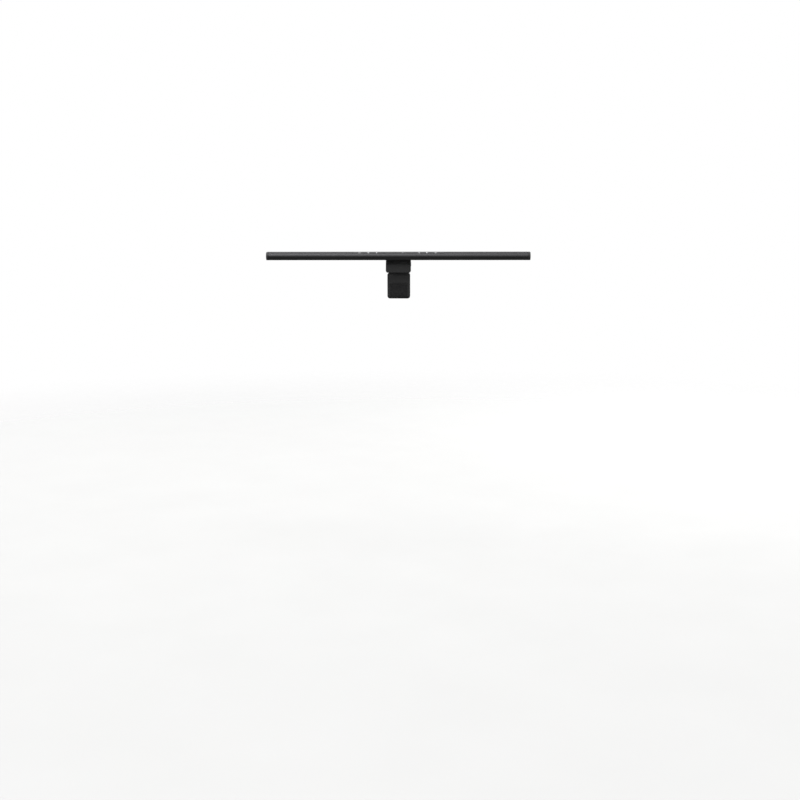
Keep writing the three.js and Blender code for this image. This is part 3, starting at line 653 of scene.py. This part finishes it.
def finish_housing():
    low, high = HOUSING_LOW, HOUSING_HIGH
    panel_low, panel_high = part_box("touch_panel")
    port_low, port_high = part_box("usb_c_port_shell")
    gap = 0.4 * MM
    window = both(
        between(X, panel_low.x - gap, panel_high.x + gap),
        between(Z, panel_low.z, high.z),
        on_bar_skin,
    )
    port = both(between(X, port_low.x - gap, port_high.x + gap), on(Y, high.y))
    ends = both(either(on(X, low.x), on(X, high.x)), on_bar_skin)
    rounded_copy(
        "bar_housing",
        "anodised_aluminium",
        "anodised_aluminium",
        (0.12, 2, ends),
        (0.14, 2, window),
        (0.18, 2, port),
    )


CAP_FLANGE = 4 * MM  # thickness of an end cap outside the housing


def finish_end_caps():
    for side, outer in (("left", X_LOW), ("right", X_HIGH)):
        name = f"{side}_end_cap"
        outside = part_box(name)[outer].x
        inside = outside + (CAP_FLANGE if outer == X_LOW else -CAP_FLANGE)
        holes = either(*(around(X, f"{side}_cap_screw_{at}", HOLE_MM) for at in ("front", "rear")))
        rounded_copy(
            name,
            "cap_plastic",
            "black_plastic",
            (0.6, 4, both(on(X, outside), neither(holes))),
            (0.15, 2, both(on(X, inside), on_bar_skin)),
            (0.2, 2, both(on(X, outside), holes)),
        )


def finish_touch_panel():
    sensor = around(Z, "ambient_light_window", HOLE_MM)
    rounded_copy(
        "touch_panel",
        "touch_gloss",
        "touch_gloss",
        (0.14, 2, both(on_bar_skin, neither(sensor))),
        (0.1, 2, both(on_bar_skin, sensor)),
    )


def finish_lens():
    low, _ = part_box("diffuser_lens")
    rounded_copy("diffuser_lens", "frosted_lens", "frosted_lens", (0.35, 3, on(Z, low.z)))


def finish_usb_shell():
    _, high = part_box("usb_c_port_shell")
    rounded_copy("usb_c_port_shell", "plate_steel", "steel", (0.1, 2, on(Y, high.y)))


PLATE_THICKNESS = 1.4 * MM
KNUCKLES_END = 22.5 * MM  # just outside the bracket's two knuckles, along X


def finish_hinge_bracket():
    low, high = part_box("tilt_hinge_bracket")
    plate_back = low.y + PLATE_THICKNESS
    holes = either(*(around(Y, f"bracket_screw_{side}", HOLE_MM) for side in ("left", "right")))
    shaft = around(X, "tilt_shaft", BORE_MM)
    knuckle_edge = both(across(X), between(Y, plate_back + 2 * NEAR, high.y))
    at_knuckles = between(X, -KNUCKLES_END, KNUCKLES_END)
    plate_rim = both(on(Y, plate_back), neither(holes, at_knuckles))
    rounded_copy(
        "tilt_hinge_bracket",
        "black_steel",
        "black_steel",
        (0.4, 4, plate_rim),
        (0.35, 3, both(knuckle_edge, neither(shaft))),
        (0.15, 2, on(Y, low.y)),
    )


SEAM_GAP = 0.3 * MM  # between two shells that close on each other
NECK_FOOT = 8 * MM  # from the clip's seam up to just below the foot of its neck


def finish_upper_shell():
    low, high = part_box("clip_upper_shell")
    seam = low.z
    sides = either(on(X, low.x), on(X, high.x))
    shaft = around(X, "tilt_shaft", BORE_MM)
    barrel = both(around(X, "tilt_shaft", BARREL_MM), across(X), neither(shaft))
    neck = both(across(Z), between(Z, seam + NECK_FOOT, high.z))
    rounded_copy(
        "clip_upper_shell",
        *SHELL_LOOK,
        (0.8, 4, both(sides, neither(on(Z, seam)))),
        (0.35, 3, both(barrel, neither(neck))),
        (0.12, 2, both(on(Z, seam), sides)),
    )


def finish_lower_shell():
    low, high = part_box("clip_lower_shell")
    seam = ARM_PIN.z - SEAM_GAP / 2
    lip = between(Z, low.z, seam - SEAM_GAP)
    faces = either(on(Y, low.y), on(X, low.x), on(X, high.x))
    pin = around(X, "arm_hinge_pin", BORE_MM)
    knuckle = both(around(X, "arm_hinge_pin", BARREL_MM), across(X), neither(pin))
    rounded_copy(
        "clip_lower_shell",
        *SHELL_LOOK,
        (0.5, 4, both(lip, faces)),
        (0.3, 3, knuckle),
    )


# The arm's front shell, from its face back and from its foot up, and the cover behind it.
FRONT_OUTLINE = 9.2 * MM  # depth of the curved outline round the front shell's face
COVER_OUTLINE = 6 * MM  # depth of the one round the rear cover's back
SHOULDER_RISE = 44.5 * MM  # up to where the arm's sides start to close in
NECK_BACK = 1.5 * MM  # depth of the neck's curved back
NECK_START = 1.9 * MM  # from the cover's top up to the neck's rounded edges
BELOW_PIN = 2.5 * MM  # where those edges end
CAVITY_MARGIN = (0.7 * MM, 0.6 * MM, 7 * MM)  # from the counterweight out past the cavity's walls


def arm_outline():
    """A test for the slanted edges of both shells that show, from the foot to below the pin."""
    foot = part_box("arm_front_shell")[0].z
    cover_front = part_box("arm_rear_cover")[0].y
    seam = either(on(Y, cover_front), on(Y, cover_front - SEAM_GAP))
    slug_low, slug_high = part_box("arm_counterweight")
    grown = ((axis, CAVITY_MARGIN[axis]) for axis in (X, Y, Z))
    cavity = both(*(between(a, slug_low[a] - m, slug_high[a] + m) for a, m in grown))
    spring_low, spring_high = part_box("arm_return_spring")
    recess = between(X, spring_low.x - MM, spring_high.x + MM)
    unseen = (cavity, seam, arm_screw_holes(), recess)
    return both(slanted, neither(*unseen), between(Z, foot, ARM_PIN.z - BELOW_PIN))


def arm_screw_holes():
    corners = [f"{row}_{side}" for row in ("top", "bottom") for side in ("left", "right")]
    return either(*(around(Y, f"arm_screw_{at}", HOLE_MM) for at in corners))


def finish_arm_shells():
    low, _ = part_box("arm_front_shell")
    _, cover_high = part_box("arm_rear_cover")
    neck_top = ARM_PIN.z - BELOW_PIN
    shoulder = low.z + SHOULDER_RISE
    outline = arm_outline()
    ahead = both(outline, between(Y, low.y, low.y + FRONT_OUTLINE))
    behind = both(
        outline,
        between(Y, cover_high.y - NECK_BACK, cover_high.y),
        between(Z, cover_high.z + NECK_START, neck_top),
    )
    rounded_copy(
        "arm_front_shell",
        *SHELL_LOOK,
        (1.2, 5, both(ahead, between(Z, low.z, shoulder))),
        (0.25, 2, both(ahead, between(Z, shoulder, neck_top))),
        (0.6, 3, behind),
        corner=FAINT_CORNER,
    )
    rounded_copy(
        "arm_rear_cover",
        *SHELL_LOOK,
        (1.2, 5, both(outline, between(Y, cover_high.y - COVER_OUTLINE, cover_high.y))),
        (0.2, 2, both(arm_screw_holes(), on(Y, cover_high.y))),
        corner=FAINT_CORNER,
        flat_degrees=0.8,
    )


def finish_visible_nodes():
    finish_housing()
    finish_end_caps()
    finish_touch_panel()
    finish_lens()
    finish_usb_shell()
    finish_hinge_bracket()
    finish_upper_shell()
    finish_lower_shell()
    finish_arm_shells()


# ---- new pieces ----------------------------------------------------------------------


def new_piece(name, bm, finish, body, replaced=(), smooth=True):
    """A mesh piece from bm, which is in metres in the row frame."""
    bmesh.ops.remove_doubles(bm, verts=bm.verts, dist=1e-7)
    bmesh.ops.recalc_face_normals(bm, faces=bm.faces)
    mesh = bpy.data.meshes.new(name)
    bm.to_mesh(mesh)
    bm.free()
    mesh.polygons.foreach_set("use_smooth", [smooth] * len(mesh.polygons))
    if smooth:
        mesh.set_sharp_from_angle(angle=math.radians(38))
    mesh.materials.append(materials[finish])
    piece = bpy.data.objects.new(name, mesh)
    bpy.context.scene.collection.objects.link(piece)
    if body:
        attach(piece, body)
    if replaced:
        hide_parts(*replaced)
    return piece


def loft(bm, loops):
    """Skins closed loops of equal length, in order, and closes both ends."""
    rings = [[bm.verts.new(point) for point in loop] for loop in loops]
    count = len(rings[0])
    for near, far in zip(rings, rings[1:]):
        for i in range(count):
            j = (i + 1) % count
            bm.faces.new((near[i], near[j], far[j], far[i]))
    for ring in (rings[0], rings[-1]):
        bm.faces.new(ring)


def circle(radius, count, turn=0.0):
    angles = [2 * math.pi * i / count + turn for i in range(count)]
    return [(radius * math.cos(a), radius * math.sin(a)) for a in angles]


# Screws: a head with a driver recess, and a real helical thread, skinned as one form.

AROUND = 24  # points on each ring of a screw
THREAD_PITCH = 0.6 * MM
THREAD_DEPTH = 0.16 * MM
THREAD_ROWS = 8  # rings to one turn of the thread
TIP_SHARE = 0.4  # of the thread's radius that is left at its end
TIP_TAPER = 3.5  # radii along the thread in which it would grow by one radius
SHANK_SHARE, HEX_SHARE, CROSS_SHARE = 0.46, 0.56, 0.62  # of the head's radius
SPIN_DEGREES = 7  # for each letter of a screw's name, so that they don't all line up


def hexagon(radius):
    """AROUND points on a hexagon, the first of them at angle 0."""
    points = []
    for x, y in circle(1, AROUND):
        angle = math.atan2(y, x) % (math.pi / 3) - math.pi / 6
        reach = radius * math.cos(math.pi / 6) / math.cos(angle)
        points.append((reach * x, reach * y))
    return points


def cross(reach):
    """AROUND points on a cross, six to each arm, the first of them at minus 45 degrees."""
    half = reach * 0.21
    arm = ((half, -half), (reach * 0.6, -half), (reach, -half), (reach, 0), (reach, half))
    points = []
    for quarter in range(4):
        c, s = math.cos(quarter * math.pi / 2), math.sin(quarter * math.pi / 2)
        for x, y in (*arm, (reach * 0.6, half)):
            points.append((c * x - s * y, s * x + c * y))
    return points


def head_loops(radius, height, recess, first_angle, shank):
    """Rings from the floor of the recess, out over the head's rim and back in to the shank."""
    depth = height * 0.8

    def at(points, level, scale=1.0):
        return [(x * scale, y * scale, level) for x, y in points]

    def rim(size, level):
        return at(circle(size, AROUND, first_angle), level)

    return [
        at(recess, -depth, 0.8),
        at(recess, -depth * 0.9, 0.88),
        at(recess, -0.05 * MM),
        at(recess, 0, 1.06),
        rim(radius * 0.86, 0),
        rim(radius * 0.95, -0.04 * radius),
        rim(radius, -0.14 * radius),
        rim(radius, -0.5 * height),
        rim(radius * 0.97, -0.58 * height),
        rim(shank, -height),
    ]


def thread_loops(radius, top, length, first_angle):
    """Rings down a threaded shank that tapers to its point."""
    rows = int(length / THREAD_PITCH * THREAD_ROWS)
    loops = []
    for row in range(1, rows + 1):
        down = row * THREAD_PITCH / THREAD_ROWS
        taper = min(1.0, TIP_SHARE + (length - down) / (TIP_TAPER * radius))
        start = min(1.0, down / THREAD_PITCH)  # the thread runs in over its first turn
        loop = []
        for i in range(AROUND):
            phase = (down / THREAD_PITCH + i / AROUND) % 1
            ridge = (1 - abs(phase - 0.5) * 2) ** 2
            r = (radius - THREAD_DEPTH * start * (1 - ridge)) * taper
            a = 2 * math.pi * i / AROUND + first_angle
            loop.append((r * math.cos(a), r * math.sin(a), top - down))
        loops.append(loop)
    return loops


def add_screw(node_name, axis, outward, body, finish, recess_kind, height_mm):
    """Stands for one CAD screw; outward is +1 or -1 along axis, the way its head faces."""
    low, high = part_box(node_name)
    head = (low + high) / 2
    head[axis] = high[axis] if outward > 0 else low[axis]
    radius = (high - low)[Y if axis != Y else X] / 2
    length = (high - low)[axis]
    shank = radius * SHANK_SHARE
    height = height_mm * MM
    if recess_kind == "hex":
        recess, first_angle = hexagon(radius * HEX_SHARE), 0.0
    else:
        recess, first_angle = cross(radius * CROSS_SHARE), -math.pi / 4
    loops = head_loops(radius, height, recess, first_angle, shank)
    loops += thread_loops(shank, -height, length - height, first_angle)
    bm = bmesh.new()
    loft(bm, loops)
    facing = Vector((0, 0, 0))
    facing[axis] = outward
    spin = Matrix.Rotation(math.radians(SPIN_DEGREES * len(node_name)), 4, "Z")
    turn = facing.to_track_quat("Z", "Y").to_matrix().to_4x4()
    bmesh.ops.transform(bm, matrix=Matrix.Translation(head) @ turn @ spin, verts=bm.verts)
    new_piece(f"{node_name}_threaded", bm, finish, body, [node_name])


def add_screws():
    for side, outward in (("left", -1), ("right", 1)):
        for place in ("front", "rear"):
            name = f"{side}_cap_screw_{place}"
            add_screw(name, X, outward, "lamp_head", "black_oxide", "hex", 0.9)
        name = f"bracket_screw_{side}"
        add_screw(name, Y, 1, "lamp_head", "black_oxide", "hex", 1.2)
        name = f"clip_screw_{side}"
        add_screw(name, Z, -1, "clip", "turned_steel", "cross", 1.1)
        for row in ("top", "bottom"):
            name = f"arm_screw_{row}_{side}"
            add_screw(name, Y, 1, "clamp_arm", "black_oxide", "cross", 1.1)


# The arm's torsion spring, wound on the pin.

SPRING_HALF = 5 * MM
SPRING_RADIUS = 2.9 * MM
SPRING_WIRE = 0.38 * MM
SPRING_TURNS = 5.5
SPRING_BEND = 1.2 * MM  # of the leg that turns down into the arm
WIRE_SIDES = 12
TURN_STEPS = 32
BEND_STEPS = 6
CLIP_LEG_MM = ((13, 0.95), (10.5, 0.8), (8, 0.6), (5.5, 0.38), (3, 0.15), (1.3, 0.03))
ARM_LEG_MM = (1, 2.5, 4.2, 6)


def spring_line():
    """Centre line: a leg forward in the clip, the coil, and a leg down in the arm. CLIP_LEG_MM
    says how far each point is in front of the pin and below the coil's top, and ARM_LEG_MM how
    far below the bend."""
    y, z = ARM_PIN.y, ARM_PIN.z
    top = z + SPRING_RADIUS
    points = []
    for forward, drop in CLIP_LEG_MM:
        points.append(Vector((SPRING_HALF, y - forward * MM, top - drop * MM)))
    steps = int(SPRING_TURNS * TURN_STEPS)
    for i in range(steps + 1):
        share = i / steps
        angle = math.pi / 2 - share * SPRING_TURNS * 2 * math.pi
        across_pin = Vector((0, math.cos(angle), math.sin(angle))) * SPRING_RADIUS
        points.append(Vector((SPRING_HALF * (1 - 2 * share), y, z)) + across_pin)
    corner_y = y - SPRING_RADIUS + SPRING_BEND
    corner_z = z - SPRING_RADIUS - SPRING_BEND
    for i in range(BEND_STEPS + 1):
        angle = math.pi / 2 * (1 + i / BEND_STEPS)
        bend_y = corner_y + SPRING_BEND * math.cos(angle)
        bend_z = corner_z + SPRING_BEND * math.sin(angle)
        points.append(Vector((-SPRING_HALF, bend_y, bend_z)))
    for drop in ARM_LEG_MM:
        points.append(Vector((-SPRING_HALF, y - SPRING_RADIUS, corner_z - drop * MM)))
    return points


def sweep(bm, line, radius):
    """A round wire along a line, its section carried on without twist."""
    tangent = (line[1] - line[0]).normalized()
    across = tangent.orthogonal().normalized()
    loops = []
    for i, point in enumerate(line):
        ahead = line[min(i + 1, len(line) - 1)] - line[max(i - 1, 0)]
        tangent = ahead.normalized()
        across = (across - tangent * across.dot(tangent)).normalized()
        third = tangent.cross(across)
        loops.append([point + across * x + third * y for x, y in circle(radius, WIRE_SIDES)])
    loft(bm, loops)


def add_spring():
    """The torsion spring as one still piece on no body: one leg reaches forward into the clip and
    the other down into the arm.
    """
    bm = bmesh.new()
    sweep(bm, spring_line(), SPRING_WIRE)
    replaced = ["arm_return_spring"]
    spring = new_piece("arm_torsion_spring", bm, "turned_steel", None, replaced)
    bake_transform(spring)


# Silicone pads: rounded corners and anti-slip ribs on the face that grips.

RIB_STEPS = 8
LEAST_ROWS = 24
SHOULDER_STEPS = 3
PAD_EDGE = 0.3 * MM  # radius of the edges of the face that grips
DOME_SHARE = 0.86  # of a domed pad's height that its two ends fall away


def add_ribbed_pad(replaced, body, along, through, contact, corner, pitch, depth, dome):
    """A pad that is wide along X and ribbed across axis `along`. contact is the sign of the face
    along axis `through` that grips, and dome is how far from each end it starts to fall away."""
    low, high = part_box(replaced)
    start, end = low[along], high[along]
    face, base = (high[through], low[through]) if contact > 0 else (low[through], high[through])
    half = (high.x - low.x) / 2
    rows = max(LEAST_ROWS, int((end - start) / pitch * RIB_STEPS))
    loops = []
    for row in range(rows + 1):
        place = start + (end - start) * row / rows
        to_end = min(place - start, end - place)
        inset = corner - math.sqrt(max(0, corner**2 - max(0, corner - to_end) ** 2))
        wide = half - inset
        wave = 0.5 - 0.5 * math.cos(2 * math.pi * (place - start) / pitch)
        fall = 0.0
        if dome and to_end < dome:
            curve = 1 - math.sqrt(1 - (1 - to_end / dome) ** 2)
            fall = abs(face - base) * DOME_SHARE * curve
        top = face - contact * (fall + depth * wave**3)
        loops.append(pad_section(along, through, place, wide, base, top, contact))
    bm = bmesh.new()
    loft(bm, loops)
    new_piece(f"{replaced}_ribbed", bm, "dark_silicone", body, [replaced])


def pad_section(along, through, place, wide, base, top, contact):
    """One closed slice of a pad: flat base, rounded shoulders, gripping face."""
    quarter = [math.pi / 2 * i / SHOULDER_STEPS for i in range(SHOULDER_STEPS + 1)]
    rise = min(PAD_EDGE * 2, abs(top - base) * 0.45)
    shoulder = [
        (wide - PAD_EDGE + PAD_EDGE * math.cos(a), top - contact * rise * (1 - math.sin(a)))
        for a in quarter
    ]
    outline = [(-wide, base), *((-x, level) for x, level in shoulder)]
    outline += [*reversed(shoulder), (wide, base)]
    points = []
    for x, level in outline:
        point = Vector((x, 0, 0))
        point[along] = place
        point[through] = level
        points.append(point)
    return points


PADS = (  # CAD node, body, along, through, contact; corner, rib pitch, rib depth, dome, in mm
    ("seat_pad", "clip", Y, Z, -1, 2.5, 2, 0.4, 0),
    ("lip_pad", "clip", Z, Y, 1, 2, 1.6, 0.35, 0),
    ("rear_pad", "clamp_arm", Z, Y, -1, 2.5, 2.3, 0.5, 9),
)


def add_pads():
    for replaced, body, along, through, contact, *sizes_mm in PADS:
        corner, pitch, depth, dome = (size * MM for size in sizes_mm)
        add_ribbed_pad(replaced, body, along, through, contact, corner, pitch, depth, dome)


# Icons printed on the touch panel: drawn flat, sliced into narrow strips, and then laid round
# the bar's front edge as thin solid ink.

INK_HEIGHT = 0.03 * MM
INK_DEPTH = 0.01 * MM  # that it sits in the panel
ICON_ARC = math.radians(31.5) * BAR_RADIUS  # round the front edge from where the top ends
STROKE = 0.4 * MM
STRIP = 0.3 * MM
RIM_MM = 1.65  # radius of the ring round an icon
RAY_MM = 1.3  # where the rays of a sun begin, and the radius inside a ring


def on_bar(x, arc, rise):
    """A point on the bar's skin; arc is the way round from the flat top, forwards and down."""
    angle = arc / BAR_RADIUS
    radius = BAR_RADIUS + rise
    return Vector((x, NOSE.y - radius * math.sin(angle), NOSE.z + radius * math.cos(angle)))


def ribbon(points, closed=False):
    """A stroke of even width along 2-D points, as a list of quads."""
    count = len(points)
    last = count - 1
    sides = []
    for i, point in enumerate(points):
        before = points[i - 1] if closed or i > 0 else point
        after = points[(i + 1) % count] if closed or i < last else point
        along = Vector(after) - Vector(before)
        square = Vector((-along.y, along.x)).normalized() * STROKE / 2
        sides.append((Vector(point) + square, Vector(point) - square))
    ends = sides[1:] + sides[:1] if closed else sides[1:]
    return [(a[0], b[0], b[1], a[1]) for a, b in zip(sides, ends)]


def arc_points(radius_mm, start, stop, steps=24):
    angles = [math.radians(start + (stop - start) * i / steps) for i in range(steps + 1)]
    return [(radius_mm * MM * math.cos(a), radius_mm * MM * math.sin(a)) for a in angles]


def ring(radius_mm):
    return ribbon(arc_points(radius_mm, 0, 350, 35), closed=True)


def sector(radius_mm, start=0, stop=360):
    rim = [Vector(point) for point in arc_points(radius_mm, start, stop)]
    return [(Vector((0, 0)), near, far) for near, far in zip(rim, rim[1:])]


def rays(inner_mm, outer_mm, count):
    strokes = []
    for i in range(count):
        c, s = math.cos(2 * math.pi * i / count) * MM, math.sin(2 * math.pi * i / count) * MM
        strokes += ribbon([(inner_mm * c, inner_mm * s), (outer_mm * c, outer_mm * s)])
    return strokes


def power_icon():
    stem = ribbon([(0, 0.5 * MM), (0, 2.0 * MM)])
    return ribbon(arc_points(1.6, 125, 415)) + stem


def automatic_icon():
    return ring(RIM_MM) + sector(0.8)


def dimmer_icon():
    return sector(1.0) + rays(RAY_MM, 1.75, 8)


def brighter_icon():
    return sector(0.9) + rays(RAY_MM, 2.0, 8)


def warmer_icon():
    return ring(RIM_MM) + sector(RAY_MM, 90, 270)


def cooler_icon():
    return ring(RIM_MM) + rays(0.5, RAY_MM, 6)


def dot_icon():
    return sector(0.6)


ICONS = (  # name, place along the bar in mm, drawing
    ("icon_power", -73, power_icon),
    ("icon_automatic", -56, automatic_icon),
    ("icon_dimmer", -40.5, dimmer_icon),
    ("icon_status_dot", 9, dot_icon),
    ("icon_brighter", 40, brighter_icon),
    ("icon_warmer", 55, warmer_icon),
    ("icon_cooler", 71, cooler_icon),
)


def add_icon(name, x_mm, faces):
    bm = bmesh.new()
    for face in faces:
        bm.faces.new([bm.verts.new((*point, 0)) for point in face])
    bmesh.ops.remove_doubles(bm, verts=bm.verts, dist=1e-6)
    reach = max(abs(v.co.y) for v in bm.verts)
    for i in range(1, int(2 * reach / STRIP) + 1):
        everything = bm.verts[:] + bm.edges[:] + bm.faces[:]
        cut = (0, -reach + i * STRIP, 0)
        bmesh.ops.bisect_plane(bm, geom=everything, plane_co=cut, plane_no=(0, 1, 0), dist=1e-7)
    bmesh.ops.recalc_face_normals(bm, faces=bm.faces)
    raised = bmesh.ops.extrude_face_region(bm, geom=bm.faces[:], use_keep_orig=True)["geom"]
    tops = {item for item in raised if isinstance(item, bmesh.types.BMVert)}
    for vertex in bm.verts:
        rise = INK_HEIGHT if vertex in tops else -INK_DEPTH
        vertex.co = on_bar(x_mm * MM + vertex.co.x, ICON_ARC - vertex.co.y, rise)
    new_piece(name, bm, "icon_ink", "lamp_head", smooth=False)


def add_icons():
    for name, x_mm, drawing in ICONS:
        add_icon(name, x_mm, drawing())


# Small electrical details.

LED_COUNT = 36
LED_MARGIN = 6 * MM  # from each end of the strip to the middle of the first LED
LED_WINDOW = (2.6 * MM, 2.0 * MM)  # width and height of the phosphor
LED_DROP = 0.5 * MM  # of the LEDs below the middle of the bar's section
PHOSPHOR_OUT, PHOSPHOR_IN = 0.08 * MM, 0.05 * MM  # in front of the package's face and behind it
CONTACT_COUNT = 12  # on each face of the inlet's tongue
CONTACT_PITCH = 0.5 * MM
CONTACT_WIDTH = 0.26 * MM
CONTACT_RISE = 0.04 * MM
CONTACT_FRONT, CONTACT_REAR = 1.0 * MM, 0.35 * MM  # that they stop short of the tongue's ends


def add_slab(bm, low, high):
    """A box between two corners with its edges rounded off."""
    made = bmesh.ops.create_cube(bm, size=1)["verts"]
    size = high - low
    bmesh.ops.scale(bm, vec=size, verts=made)
    bmesh.ops.translate(bm, vec=(low + high) / 2, verts=made)
    edges = list({edge for vertex in made for edge in vertex.link_edges})
    offset = min(size) * 0.2
    bmesh.ops.bevel(bm, geom=edges, offset=offset, segments=2, affect="EDGES", profile=0.5)


def row_of(count, pitch):
    """Places along a line, evenly spaced about 0."""
    return [(i - (count - 1) / 2) * pitch for i in range(count)]


def add_led_phosphors():
    """One pale yellow window on the face of each LED."""
    low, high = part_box("led_strip_board")
    pitch = (high.x - low.x - 2 * LED_MARGIN) / (LED_COUNT - 1)
    half_width, half_height = (size / 2 for size in LED_WINDOW)
    middle = BAR.z - LED_DROP
    bm = bmesh.new()
    for x in row_of(LED_COUNT, pitch):
        near = Vector((x - half_width, low.y - PHOSPHOR_OUT, middle - half_height))
        far = Vector((x + half_width, low.y + PHOSPHOR_IN, middle + half_height))
        add_slab(bm, near, far)
    new_piece("led_phosphors", bm, "led_phosphor", "lamp_head")


def add_usb_contacts():
    """Gold contacts on both faces of the inlet's tongue."""
    low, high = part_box("usb_c_port_tongue")
    middle = (low.x + high.x) / 2
    half = CONTACT_WIDTH / 2
    bm = bmesh.new()
    for face in (low.z, high.z):
        for x in row_of(CONTACT_COUNT, CONTACT_PITCH):
            near = Vector((middle + x - half, low.y + CONTACT_FRONT, face - CONTACT_RISE))
            far = Vector((middle + x + half, high.y - CONTACT_REAR, face + CONTACT_RISE))
            add_slab(bm, near, far)
    new_piece("usb_c_contacts", bm, "contact_gold", "lamp_head")


# ---- put together --------------------------------------------------------------------

materials = make_materials()
add_camera()
dress_cad_nodes()
finish_visible_nodes()
add_screws()
add_spring()
add_pads()
add_icons()
add_led_phosphors()
add_usb_contacts()
add_floor()
add_world()
add_lights()
